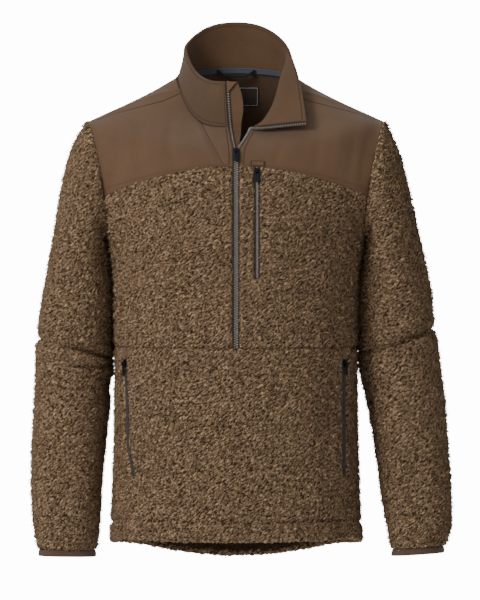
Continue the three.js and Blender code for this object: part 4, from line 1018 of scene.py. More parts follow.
def cell_corners(surface, covered):
    """Vertex numbers of the covered cells, and the cloth lengths at each corner"""
    columns = surface.points.shape[1]
    row, column = np.nonzero(covered)
    after = column + 1
    last = columns - 1
    joined = after % last if surface.wraps else after
    corners = np.stack([row * columns + column, (row + 1) * columns + column,
                        (row + 1) * columns + joined, row * columns + joined], axis=1)
    u, v = surface.column_lengths, surface.row_lengths
    lengths = np.stack([
        np.stack([u[column], v[row]], axis=-1), np.stack([u[column], v[row + 1]], axis=-1),
        np.stack([u[after], v[row + 1]], axis=-1), np.stack([u[after], v[row]], axis=-1)], axis=1)
    return corners, lengths


def compacted(vertices, corners):
    used, numbers = np.unique(corners, return_inverse=True)
    return vertices[used], numbers.reshape(corners.shape), used


def wall(piece, surface, covered, outer, inner, pull=SEAM_PULL):
    """Adds a wall over the covered cells, drawn back a little at its edges"""
    corners, lengths = cell_corners(surface, covered)
    points = surface.points.reshape(-1, 3).copy()
    normals = surface.normals.reshape(-1, 3)
    outer = np.broadcast_to(outer, surface.points.shape[:2]).reshape(-1)
    inner = np.broadcast_to(inner, surface.points.shape[:2]).reshape(-1)
    start = corners.reshape(-1)
    end = np.roll(corners, -1, axis=1).reshape(-1)
    total = len(points)
    free = ~np.isin(start * total + end, end * total + start)
    edge_start, edge_end = start[free], end[free]
    along = unit(points[edge_end] - points[edge_start])
    inward = unit(np.cross(normals[edge_start], along))
    pulls = np.zeros_like(points)
    np.add.at(pulls, edge_start, inward)
    np.add.at(pulls, edge_end, inward)
    size = np.maximum((pulls ** 2).sum(axis=1, keepdims=True) / 2, 0.6)
    points += pulls * pull / size
    both = np.concatenate([points + normals * outer[:, None], points - normals * inner[:, None]])
    outside = corners
    inside = corners[:, ::-1] + total
    sides = np.stack([edge_end, edge_start, edge_start + total, edge_end + total], axis=1)
    edge_lengths = np.repeat(lengths.reshape(-1, 2)[free][:, None], 4, axis=1)
    faces = np.concatenate([outside, inside, sides])
    uv = np.concatenate([lengths, lengths[:, ::-1], edge_lengths]).reshape(-1, 2)
    vertices, numbers, _ = compacted(both, faces)
    piece.add(vertices, numbers, uv)
    return piece


def flat_size(surface, covered):
    """The cut of a piece: its widest row, its longest column and its area, in metres"""
    down = np.linalg.norm(np.diff(surface.points, axis=0), axis=-1)
    across = np.linalg.norm(np.diff(surface.points, axis=1), axis=-1)
    cell_width = (across[:-1] + across[1:]) / 2 * covered
    cell_height = (down[:, :-1] + down[:, 1:]) / 2 * covered
    up = surface.points[1:, :-1] - surface.points[:-1, :-1]
    over = surface.points[:-1, 1:] - surface.points[:-1, :-1]
    area = np.linalg.norm(np.cross(up, over), axis=-1)[covered].sum() * MM * MM
    width = cell_width.sum(axis=1).max() * MM
    length = cell_height.sum(axis=0).max() * MM
    return (width, length), min(area, width * length)


CUT_PIECES = {}


def note_sheet(name, piece, surface, covered, extras=()):
    """Remembers a cloth piece and its cut, with what is made on it"""
    flat, area = flat_size(surface, covered)
    CUT_PIECES[name] = {"piece": piece, "flat": flat, "area": area, "extras": list(extras)}


def within(value, low, high):
    return (value > low) & (value < high)


def pile_mesh(name, surface, covered, material, sizes, hem=False):
    """The curly surface of a fleece piece, tucked down to the backing at its edges"""
    base, normals = surface.points, surface.normals
    height, tone, lean = curls(base, sizes.curl_size / MM)
    edge = edge_distances(surface, covered, PILE_EDGE_REACH)
    stand = smooth(edge / PILE_EDGE_REACH) ** 0.45
    if hem:
        below = surface.rows < HEM_STITCH_LEVEL - 0.02
        stand[surface.rows < 0.01] = 1
        stand[below] = np.maximum(stand[below], smooth((surface.rows[below] + 1))[:, None]
                                  * (edge[below] > 0))
        gap = np.abs(surface.row_lengths - np.interp(HEM_STITCH_LEVEL, surface.rows,
                                                     surface.row_lengths))
        pressed = np.exp(-(gap / HEM_GROOVE) ** 2)[:, None]
        height = height * (1 - pressed)
        stand = stand * (1 - 0.75 * pressed)
    top = sizes.pile_height / MM
    offset = mix(PILE_EDGE, PILE_LOW + (top - PILE_LOW) * height, stand)
    side = lean - normals * (lean * normals).sum(axis=-1, keepdims=True)
    sway = side * (height ** 1.5 * stand * sizes.curl_lean / MM)[..., None]
    points = base + normals * offset[..., None] + sway
    corners, lengths = cell_corners(surface, covered)
    vertices, numbers, used = compacted(points.reshape(-1, 3), corners)
    # Painted shade: the pile value, which sets the colour, falls with the curl's height, towards
    # the tucked edges and in the pressed hem groove
    shade = (height * mix(0.5, 1, stand)).reshape(-1)[used]
    piece = Piece().add(vertices, numbers, lengths.reshape(-1, 2), pile=shade,
                        tone=tone.reshape(-1)[used])
    if hem:
        turned_hem(piece, surface, covered, sizes)
    near_edge = np.minimum(smooth(edge / 4), stand)
    add_tufts(piece, points, normals, height * stand, near_edge, corners, sizes)
    return piece.build(name, material, "fleece")


def add_tufts(piece, points, normals, height, reach, corners, sizes):
    """Short curved locks on the pile: each rises at its root and lies over at its tip"""
    flat_points, flat_normals = points.reshape(-1, 3), normals.reshape(-1, 3)
    a, b, c, d = (flat_points[corners[:, k]] for k in range(4))
    areas = np.linalg.norm(np.cross(c - a, d - b), axis=1) / 2
    count = int(areas.sum() / (sizes.lock_spacing / MM) ** 2)
    random = np.random.default_rng(len(corners))
    chosen = np.searchsorted(np.cumsum(areas), random.random(count) * areas.sum())
    chosen = np.minimum(chosen, len(corners) - 1)
    s, t = random.random((2, count, 1))
    roots = mix(mix(a[chosen], d[chosen], s), mix(b[chosen], c[chosen], s), t)
    out = unit(flat_normals[corners[chosen, 0]])
    stands = height.reshape(-1)[corners[chosen, 0]]
    near = reach.reshape(-1)[corners[chosen, 0]][:, None]
    nap = np.array([0.0, 0.0, -1.0]) - out * (-out[:, 2:])
    nap = unit(nap + 1e-6)
    beside = np.cross(out, nap)
    turn = (LOCK_TURN + LOCK_SWIRL * soft_noise(roots, LOCK_SWIRL_SIZE, 31)
            + LOCK_SCATTER * random.normal(size=count))[:, None]
    way = nap * np.cos(turn) + beside * np.sin(turn)
    side = np.cross(out, way)
    length = sizes.lock_length / MM * random.uniform(0.6, 1.25, (count, 1)) * mix(0.45, 1, near)
    width = sizes.lock_width / MM * random.uniform(0.6, 1.2, (count, 1))
    lift = random.uniform(0.1, 1.0, (count, 1)) + (random.random((count, 1)) < 0.3) * 3.8
    lift = lift * mix(0.3, 1, near)
    curl = side * random.normal(size=(count, 1)) * length * 0.22
    root = roots - out * 0.8 - way * length * 0.35
    middle = roots + out * (0.35 + 0.5 * lift) + curl
    tip = roots + way * length * 0.65 + out * (lift * 0.9 - 0.25)
    vertices = np.stack([root, middle + side * width / 2, tip, middle - side * width / 2], axis=1)
    faces = np.arange(4 * count).reshape(-1, 4)
    # Painted shade and highlight: each lock's pile value is low at its root and high at its tip,
    # and lower where the pile is low
    tone = np.repeat(random.random(count), 4)
    level = np.clip(0.55 + 0.5 * stands, 0, 1.1)[:, None]
    lock_shade = level * np.array([0.25, 0.72, 0.98, 0.62])
    piece.add(vertices, faces, None, pile=lock_shade.reshape(-1), tone=tone)


def turned_hem(piece, surface, covered, sizes):
    """The pile goes on round the hem's lower edge and up the inside to the stitches, with painted
    shade darkening the inside towards the stitches
    """
    rows = np.nonzero(surface.rows <= HEM_STITCH_LEVEL)[0][::-1]
    points, normals = surface.points, surface.normals
    base = [points[row] - normals[row] * HEM_TURN_DEPTH for row in rows]
    ways = [-normals[row] for row in rows]
    down = unit(points[0] - points[1])
    centre = points[0] - normals[0] * HEM_TURN_DEPTH / 2
    for step in range(1, HEM_ARC_STEPS):
        turn = math.pi * step / HEM_ARC_STEPS
        way = -normals[0] * math.cos(turn) + down * math.sin(turn)
        base.append(centre + way * HEM_TURN_DEPTH / 2 - down * HEM_RAISE * math.sin(turn))
        ways.append(unit(way))
    base.append(points[0])
    ways.append(normals[0])
    base, ways = np.array(base), np.array(ways)
    height, tone, lean = curls(base, sizes.curl_size / MM)
    stand = np.ones(len(base))
    stand[0] = 0
    stand = stand[:, None]
    top = sizes.pile_height / MM
    offset = mix(PILE_EDGE, PILE_LOW + (top - PILE_LOW) * height * 0.9, stand)
    side = lean - ways * (lean * ways).sum(axis=-1, keepdims=True)
    sway = side * (height ** 1.5 * stand * sizes.curl_lean / MM)[..., None]
    points = base + ways * offset[..., None] + sway
    count, columns = points.shape[:2]
    open_columns = covered[0]
    row, column = np.nonzero(np.broadcast_to(open_columns, (count - 1, columns - 1)))
    corners = np.stack([row * columns + column, (row + 1) * columns + column,
                        (row + 1) * columns + column + 1, row * columns + column + 1], axis=1)
    # Painted shade: the inside of the hem darkens towards the stitches, down to HEM_INSIDE_SHADE
    up = smooth((1 - np.arange(count) / (len(rows) - 1)) / HEM_SHADE_REACH)[:, None]
    shade = mix(height, HEM_INSIDE_SHADE, up)
    piece.add(points, corners, None, pile=shade.reshape(-1), tone=tone.reshape(-1))


def fleece_panel(name, grid, covers, span, sizes, material, backing_material, hem=False):
    """A fleece piece: a thin sheet of backing and the pile that stands on it"""
    fine = Surface(grid, sizes.pile_step / MM, *span)
    fine.push(fold_offsets(fine.points, fine.normals, FOLDS) * sizes.fold_strength)
    pile = pile_mesh(f"{name}_pile", fine, fine.cells(covers), material, sizes, hem)
    plain = Surface(grid, sizes.sheet_step / MM, *span)
    plain.push(fold_offsets(plain.points, plain.normals, FOLDS) * sizes.fold_strength)
    covered = plain.cells(covers)
    inner = np.where(plain.rows <= HEM_STITCH_LEVEL, HEM_TURN_DEPTH, BACKING_IN) if hem \
        else np.full(len(plain.rows), BACKING_IN)
    sheet = wall(Piece(), plain, covered, BACKING_OUT, inner[:, None]).build(
        f"{name}_backing", backing_material, "fleece", 60)
    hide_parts(name)
    return sheet, pile, plain, covered


def new_material(name):
    material = bpy.data.materials.new(name)
    material.use_nodes = True
    nodes = material.node_tree.nodes
    nodes.clear()
    output = nodes.new("ShaderNodeOutputMaterial")
    shader = nodes.new("ShaderNodeBsdfPrincipled")
    material.node_tree.links.new(shader.outputs["BSDF"], output.inputs["Surface"])
    return material, shader


class Nodes:
    """Short helpers for one material's node tree"""

    def __init__(self, material):
        self.tree = material.node_tree

    def add(self, kind, **settings):
        node = self.tree.nodes.new(kind)
        for name, value in settings.items():
            setattr(node, name, value)
        return node

    def link(self, source, target):
        self.tree.links.new(source, target)
        return target

    def coordinates(self, kind="Object"):
        return self.add("ShaderNodeTexCoord").outputs[kind]

    def lengths(self):
        return self.add("ShaderNodeUVMap", uv_map="cloth_lengths").outputs["UV"]

    def noise(self, vector, scale, detail=2.0, roughness=0.5):
        node = self.add("ShaderNodeTexNoise")
        node.inputs["Scale"].default_value = scale
        node.inputs["Detail"].default_value = detail
        node.inputs["Roughness"].default_value = roughness
        self.link(vector, node.inputs["Vector"])
        return node.outputs["Fac"]

    def warped(self, vector, scale, reach):
        """The same coordinates, pushed about by noise"""
        noise = self.add("ShaderNodeTexNoise")
        noise.inputs["Scale"].default_value = scale
        noise.inputs["Detail"].default_value = 1
        self.link(vector, noise.inputs["Vector"])
        centred = self.add("ShaderNodeVectorMath", operation="SUBTRACT")
        centred.inputs[1].default_value = (0.5, 0.5, 0.5)
        self.link(noise.outputs["Color"], centred.inputs[0])
        pushed = self.add("ShaderNodeVectorMath", operation="MULTIPLY_ADD")
        pushed.inputs[1].default_value = (reach, reach, reach)
        self.link(centred.outputs["Vector"], pushed.inputs[0])
        self.link(vector, pushed.inputs[2])
        return pushed.outputs["Vector"]

    def bands(self, vector, scale, direction, distortion=0.0):
        node = self.add("ShaderNodeTexWave", bands_direction=direction)
        node.inputs["Scale"].default_value = scale
        node.inputs["Distortion"].default_value = distortion
        self.link(vector, node.inputs["Vector"])
        return node.outputs["Fac"]

    def math(self, operation, first, second):
        node = self.add("ShaderNodeMath", operation=operation)
        for socket, value in zip(node.inputs, (first, second)):
            if isinstance(value, (int, float)):
                socket.default_value = value
            else:
                self.link(value, socket)
        return node.outputs["Value"]

    def ramp(self, source, *stops):
        node = self.add("ShaderNodeValToRGB")
        ramp = node.color_ramp
        while len(ramp.elements) < len(stops):
            ramp.elements.new(0.5)
        for element, (position, colour) in zip(ramp.elements, stops):
            element.position = position
            element.color = (*colour, 1)
        self.link(source, node.inputs["Fac"])
        return node.outputs["Color"]

    def blend(self, share, first, second, kind="MIX"):
        node = self.add("ShaderNodeMix", data_type="RGBA", blend_type=kind)
        if isinstance(share, (int, float)):
            node.inputs["Factor"].default_value = share
        else:
            self.link(share, node.inputs["Factor"])
        for index, value in ((6, first), (7, second)):
            if isinstance(value, (tuple, list)):
                node.inputs[index].default_value = (*value, 1)
            else:
                self.link(value, node.inputs[index])
        return node.outputs[2]

    def bump(self, height, distance, strength, below=None):
        node = self.add("ShaderNodeBump")
        node.inputs["Distance"].default_value = distance
        node.inputs["Strength"].default_value = strength
        self.link(height, node.inputs["Height"])
        if below is not None:
            self.link(below, node.inputs["Normal"])
        return node.outputs["Normal"]


def shade(colour, factor):
    return tuple(channel * factor for channel in colour)


def fleece_material(name, colours):
    """Curls packed side by side, with painted shade in the crevices between them and on their
    flanks, a painted highlight on their tops, and fine fibres over them
    """
    material, shader = new_material(name)
    n = Nodes(material)
    where = n.coordinates()
    # the pile value: height of the curl, lowered as painted shade at the edges, the lock roots and
    # inside the hem
    pile = n.add("ShaderNodeAttribute", attribute_name="pile").outputs["Fac"]
    tone = n.add("ShaderNodeAttribute", attribute_name="tone").outputs["Fac"]
    bent = n.warped(n.warped(where, 14, 0.014), 230, 0.0016)
    turned = n.add("ShaderNodeMapping", vector_type="TEXTURE")
    turned.inputs["Rotation"].default_value = (0.15, -CURL_TILT, 0)
    turned.inputs["Scale"].default_value = (CURL_STRETCH, 1, 1)
    n.link(bent, turned.inputs["Vector"])
    cells = [n.add("ShaderNodeTexVoronoi", feature=feature)
             for feature in ("DISTANCE_TO_EDGE", "F1")]
    for node in cells:
        node.inputs["Scale"].default_value = 1 / SHADED_CURL
        n.link(turned.outputs["Vector"], node.inputs["Vector"])
    edges = n.ramp(cells[0].outputs["Distance"], (0.0, (0.3, 0.3, 0.3)), (0.1, (1, 1, 1)))
    strokes = n.ramp(n.noise(turned.outputs["Vector"], 1 / STROKE_SIZE, 1, 0.4),
                     (0.37, (0.0, 0.0, 0.0)), (0.46, (0.72, 0.72, 0.72)), (0.55, (1, 1, 1)))
    crevice = n.math("MULTIPLY", edges, strokes)
    dome = n.math("SUBTRACT", 1.0, n.math("MULTIPLY", cells[1].outputs["Distance"], 0.45))
    fibres = n.noise(bent, 760, 3, 0.62)
    # Painted shade and highlight: depth, from the crevices and dark strokes, the dome of each curl
    # and the pile value, runs the colour from the crevice shade up past the tip colour; the
    # crevices and domes also set the bump
    depth = n.math("ADD", n.math("MULTIPLY", n.math("MULTIPLY", crevice, dome), 0.76),
                   n.math("ADD", n.math("MULTIPLY", pile, 0.25),
                          n.math("MULTIPLY", n.math("SUBTRACT", fibres, 0.5), 0.36)))
    # root is the painted shade between the curls, and the ramp's last stop, brighter than the tips,
    # is a painted highlight
    tip, body, root = colours.fleece_tip, colours.fleece_body, colours.backing_and_crevice_shade
    base = n.ramp(depth, (0.16, root), (0.31, shade(body, 0.5)), (0.47, body), (0.74, tip),
                  (1.0, shade(tip, 1.5)))
    patch = n.noise(where, 16, 2, 0.5)
    varied = n.blend(n.math("MULTIPLY", n.math("ADD", tone, patch), 0.24), base,
                     n.blend(1.0, base, (0.66, 0.61, 0.56), "MULTIPLY"))
    n.link(varied, shader.inputs["Base Color"])
    shader.inputs["Roughness"].default_value = 0.92
    shader.inputs["Specular IOR Level"].default_value = 0.15
    shader.inputs["Sheen Weight"].default_value = 0.25
    shader.inputs["Sheen Roughness"].default_value = 0.5
    shader.inputs["Sheen Tint"].default_value = (*shade(tip, 1.6), 1)
    curls_bump = n.bump(n.math("MULTIPLY", crevice, dome), 0.0062, 1.0)
    n.link(n.bump(fibres, 0.0016, 0.8, curls_bump), shader.inputs["Normal"])
    return material


def backing_material(name, colours):
    """The knitted back of the fleece"""
    material, shader = new_material(name)
    n = Nodes(material)
    where = n.lengths()
    ribs = n.math("MULTIPLY", n.bands(where, 330, "X"), n.bands(where, 420, "Y"))
    base = n.ramp(n.math("ADD", ribs, n.math("MULTIPLY", n.noise(where, 60), 0.5)),
                  (0.2, shade(colours.backing_and_crevice_shade, 0.8)), (0.95, shade(colours.fleece_body, 0.8)))
    n.link(base, shader.inputs["Base Color"])
    shader.inputs["Roughness"].default_value = 0.9
    shader.inputs["Sheen Weight"].default_value = 0.15
    n.link(n.bump(ribs, 0.0004, 0.7), shader.inputs["Normal"])
    return material


def woven_material(name, colour, threads=1500.0, contrast=0.25, roughness=0.72, sheen=0.2,
                   bump_height=0.00022):
    """Plain weave: two sets of fine threads, with slubs, wear and soft mottling"""
    material, shader = new_material(name)
    n = Nodes(material)
    where = n.lengths()
    warp = n.bands(where, threads / 4.77, "X", 0.6)
    weft = n.bands(where, threads / 4.77, "Y", 0.6)
    weave = n.math("MULTIPLY", warp, weft)
    slubs = n.noise(where, 240, 3, 0.6)
    mottle = n.noise(n.coordinates(), 24, 4, 0.6)
    tone = n.math("ADD", n.math("MULTIPLY", weave, 0.3),
                  n.math("ADD", n.math("MULTIPLY", slubs, 0.35), n.math("MULTIPLY", mottle, 0.45)))
    base = n.ramp(tone, (0.25, shade(colour, 1 - contrast)), (0.85, shade(colour, 1 + contrast)))
    n.link(base, shader.inputs["Base Color"])
    n.link(n.math("ADD", n.math("MULTIPLY", slubs, 0.12), roughness - 0.06),
           shader.inputs["Roughness"])
    shader.inputs["Specular IOR Level"].default_value = 0.3
    shader.inputs["Sheen Weight"].default_value = sheen
    shader.inputs["Sheen Roughness"].default_value = 0.5
    large = n.bump(n.noise(n.coordinates(), 60, 3, 0.55), 0.0016, 0.35)
    n.link(n.bump(n.math("ADD", weave, n.math("MULTIPLY", slubs, 0.5)), bump_height, 0.8, large),
           shader.inputs["Normal"])
    return material


def hardware_material(name, colour, metallic, roughness):
    """Painted metal or moulded tab, with fine scratches and lighter worn spots"""
    material, shader = new_material(name)
    n = Nodes(material)
    where = n.coordinates()
    wear = n.noise(where, 700, 4, 0.7)
    base = n.ramp(wear, (0.45, colour), (0.8, shade(colour, 2.6)))
    n.link(base, shader.inputs["Base Color"])
    n.link(n.math("ADD", n.math("MULTIPLY", wear, 0.3), roughness - 0.12),
           shader.inputs["Roughness"])
    shader.inputs["Metallic"].default_value = metallic
    shader.inputs["Specular IOR Level"].default_value = 0.25
    n.link(n.bump(wear, 0.0001, 0.35), shader.inputs["Normal"])
    return material


MATERIALS = {}


def material_for(name, maker, *values, **settings):
    if name not in MATERIALS:
        MATERIALS[name] = maker(name, *values, **settings)
    return MATERIALS[name]


def yoke_cloth(colours):
    return material_for("yoke_weave", woven_material, tuple(colours.woven), contrast=0.2)


# Painted shade: the collar is the yoke's cloth in a darker colour
def shaded_collar_cloth(colours):
    return material_for("collar_weave", woven_material, tuple(colours.collar))


# Painted shade: the facing is the yoke's cloth in a slightly darker colour
def facing_cloth(colours):
    return material_for("facing_weave", woven_material, tuple(colours.facing), contrast=0.22,
                        roughness=0.8, sheen=0.1)


def tape_cloth(colours):
    return material_for("zip_tape_weave", woven_material, tuple(colours.zip_tape), threads=2200.0,
                        contrast=0.35, roughness=0.8)


def thread_material(name, colour):
    """Twisted thread, with the shadow of its groove where the groove value is high"""
    material, shader = new_material(name)
    n = Nodes(material)
    groove = n.add("ShaderNodeAttribute", attribute_name="groove").outputs["Fac"]
    twist = n.noise(n.coordinates(), 1500, 2, 0.6)
    base = n.ramp(twist, (0.3, shade(colour, 0.75)), (0.75, shade(colour, 1.25)))
    n.link(n.blend(groove, base, shade(colour, 0.3)), shader.inputs["Base Color"])
    shader.inputs["Roughness"].default_value = 0.7
    shader.inputs["Specular IOR Level"].default_value = 0.2
    n.link(n.bump(twist, 0.0003, 0.6), shader.inputs["Normal"])
    return material


def thread_cloth(colours):
    return material_for("sewing_thread", thread_material, tuple(colours.thread))


class PulloverSizes(bpy.types.PropertyGroup):
    """Sizes that shape the cloth's surface"""

    pile_height: FloatProperty(
        name="Pile height", description="Height of the curls above the backing", default=0.0056,
        min=0.001, max=0.012, unit="LENGTH", precision=4)
    curl_size: FloatProperty(
        name="Curl size", description="Width of one curl of the pile", default=0.0047,
        min=0.002, max=0.012, unit="LENGTH", precision=4)
    curl_lean: FloatProperty(
        name="Curl lean", description="How far the top of a curl stands off its root",
        default=0.0034, min=0, max=0.01, unit="LENGTH", precision=4)
    lock_length: FloatProperty(
        name="Lock length", description="Length of a lock of the pile", default=0.0062,
        min=0.001, max=0.02, unit="LENGTH", precision=4)
    lock_width: FloatProperty(
        name="Lock width", description="Width of a lock of the pile", default=0.0021,
        min=0.0003, max=0.01, unit="LENGTH", precision=4)
    lock_spacing: FloatProperty(
        name="Lock spacing", description="Mean distance between locks", default=0.0029,
        min=0.002, max=0.02, unit="LENGTH", precision=5)
    pile_step: FloatProperty(
        name="Pile mesh step", description="Spacing of the pile's mesh", default=0.0025,
        min=0.0015, max=0.006, unit="LENGTH", precision=4)
    sheet_step: FloatProperty(
        name="Backing mesh step", description="Spacing of the backing's mesh", default=0.008,
        min=0.002, max=0.02, unit="LENGTH", precision=4)
    woven_step: FloatProperty(
        name="Woven mesh step", description="Spacing of the smooth cloth's mesh", default=0.0036,
        min=0.001, max=0.01, unit="LENGTH", precision=4)
    fold_strength: FloatProperty(
        name="Fold strength", description="Scale of the folds placed by hand", default=1.0,
        min=0, max=2, subtype="FACTOR")
    stitch_pitch: FloatProperty(
        name="Stitch pitch", description="Length of one stitch and its gap", default=0.0032,
        min=0.001, max=0.008, unit="LENGTH", precision=4)
    tooth_pitch: FloatProperty(
        name="Tooth pitch", description="Spacing of the front zip's teeth", default=0.0038,
        min=0.001, max=0.006, unit="LENGTH", precision=4)


def colour_property(name, description, default):
    return FloatVectorProperty(name=name, description=description, default=default, size=3,
                               min=0, max=1, subtype="COLOR")


class PulloverColours(bpy.types.PropertyGroup):
    """Colours of the cloth and fittings"""

    fleece_tip: colour_property("Pile tips", "Colour of the curls' tops", (0.56, 0.376, 0.226))
    fleece_body: colour_property("Pile", "Colour of the pile's flanks", (0.46, 0.296, 0.17))
    # painted shade between the curls; the knitted backing also takes its own darker colour from it
    backing_and_crevice_shade: colour_property("Pile roots", "Colour between the curls", (0.055, 0.031, 0.016))
    woven: colour_property("Yoke cloth", "Smooth cloth of yoke and collar", (0.135, 0.072, 0.034))
    # painted shade: the yoke's cloth, darker on the collar
    collar: colour_property("Collar cloth", "Outside of the collar", (0.1, 0.055, 0.026))
    # painted shade: the yoke's cloth, a little darker inside the collar
    facing: colour_property("Facing cloth", "Inside of the collar", (0.118, 0.063, 0.031))
    binding: colour_property("Cuff binding", "Stretch binding of the cuffs", (0.105, 0.062, 0.036))
    neck_tape: colour_property("Neck tape", "Tape over the back neck seam", (0.085, 0.094, 0.125))
    cord: colour_property("Hanging loop", "Braided loop at the neck", (0.012, 0.012, 0.014))
    zip_tape: colour_property("Zip tape", "Woven tape of the zips", (0.04, 0.029, 0.022))
    teeth: colour_property("Zip teeth", "Moulded teeth", (0.33, 0.29, 0.255))
    hardware: colour_property("Sliders", "Painted sliders and pull tabs", (0.0035, 0.005, 0.009))
    thread: colour_property("Thread", "Sewing thread", (0.13, 0.078, 0.044))
    label: colour_property("Label", "The bare label's cloth", (0.085, 0.06, 0.045))
    label_thread: colour_property("Label border", "Thread round the bare label",
                                  (0.85, 0.82, 0.78))
    floor: colour_property("Floor", "Plain floor and backdrop", (0.86, 0.86, 0.86))


BOX_CORNERS = np.array([[x, y, z] for z in (-0.5, 0.5) for y in (-0.5, 0.5) for x in (-0.5, 0.5)])
BOX_FACES = np.array([[0, 2, 3, 1], [4, 5, 7, 6], [0, 1, 5, 4], [2, 6, 7, 3], [0, 4, 6, 2],
                      [1, 3, 7, 5]])


def repeat_shape(piece, corners, faces, centres, axes):
    """Copies of one small shape, each with its own centre and its own three axes"""
    count = len(centres)
    placed = np.einsum("vk,nkd->nvd", corners, axes) + centres[:, None]
    numbers = faces[None] + (np.arange(count) * len(corners))[:, None, None]
    return piece.add(placed.reshape(-1, 3), numbers.reshape(-1, faces.shape[1]))


def stitch_shape():
    """A short thread that rises out of the cloth and goes back in, along the first axis"""
    rings = [(-0.5, 0.25, -0.6), (-0.3, 0.5, 0.25), (0.3, 0.5, 0.25), (0.5, 0.25, -0.6)]
    corners = []
    for along, half, lift in rings:
        corners += [[along, -half, lift - half], [along, half, lift - half],
                    [along, half, lift + half], [along, -half, lift + half]]
    faces = [[0, 1, 2, 3], [15, 14, 13, 12]]
    for ring in range(len(rings) - 1):
        for side in range(4):
            a, b = ring * 4 + side, ring * 4 + (side + 1) % 4
            faces.append([b, a, a + 4, b + 4])
    return np.array(corners), np.array(faces)


STITCH_CORNERS, STITCH_FACES = stitch_shape()


def resampled(points, normals, pitch):
    """Even places along a line: middles, directions along it and outwards"""
    gaps = np.linalg.norm(np.diff(points, axis=0), axis=1)
    total = np.concatenate([[0], np.cumsum(gaps)])
    count = max(int(total[-1] / pitch), 1)
    at = (np.arange(count) + 0.5) * total[-1] / count

    def read(values, places):
        return np.stack([np.interp(places, total, values[:, k]) for k in range(3)], axis=1)

    along = unit(read(points, at + 0.4 * pitch) - read(points, at - 0.4 * pitch))
    return read(points, at), along, unit(read(normals, at))


def stitch_line(piece, points, normals, sizes, width=0.75, lift=0.15, bed=1.5):
    """A row of stitches, over a ribbon of painted shadow for the shallow groove that they press
    into the cloth
    """
    pitch = sizes.stitch_pitch / MM
    middles, along, outward = resampled(points, normals, pitch)
    across = unit(np.cross(outward, along))
    outward = np.cross(along, across)
    axes = np.stack([along * pitch * 0.78, across * width, outward * width], axis=1)
    repeat_shape(piece, STITCH_CORNERS, STITCH_FACES, middles + outward * lift, axes)
    groove_shadow_line(piece, points, normals, bed)


def groove_shadow_line(piece, points, normals, width):
    """A ribbon of painted shadow lying on the cloth, along a seam, a crease or a stitched groove"""
    middles, along, outward = resampled(points, normals, 1.6)
    across = unit(np.cross(outward, along))
    shares = np.array([-0.5, -0.22, 0.22, 0.5])
    rise = np.array([0.02, 0.1, 0.1, 0.02])
    ribbon = (middles[:, None] + across[:, None] * shares[None, :, None] * width
              + outward[:, None] * rise[None, :, None])
    count, sides = ribbon.shape[:2]
    row, column = np.nonzero(np.ones((count - 1, sides - 1), bool))
    faces = np.stack([row * sides + column, (row + 1) * sides + column,
                      (row + 1) * sides + column + 1, row * sides + column + 1], axis=1)
    shadow_share = np.tile([0.45, 1, 1, 0.45], count)
    piece.add(ribbon, faces, None, groove=shadow_share)


def tooth_row(piece, points, normals, inward, pitch, size, shift=0.0):
    middles, along, outward = resampled(points, normals, pitch)
    reach = np.stack([np.interp(np.arange(len(middles)), np.linspace(0, len(middles), len(inward)),
                                inward[:, k]) for k in range(3)], axis=1)
    across = unit(reach - along * (reach * along).sum(axis=1, keepdims=True))
    outward = unit(np.cross(along, across))
    centres = middles + along * shift * pitch + across * size[1] * 0.5
    axes = np.stack([along * size[0], across * size[1], outward * size[2]], axis=1)
    corners = BOX_CORNERS.copy()
    corners[:, :2] *= np.where(corners[:, 2:] > 0, 0.72, 1)
    repeat_shape(piece, corners, BOX_FACES, centres, axes)


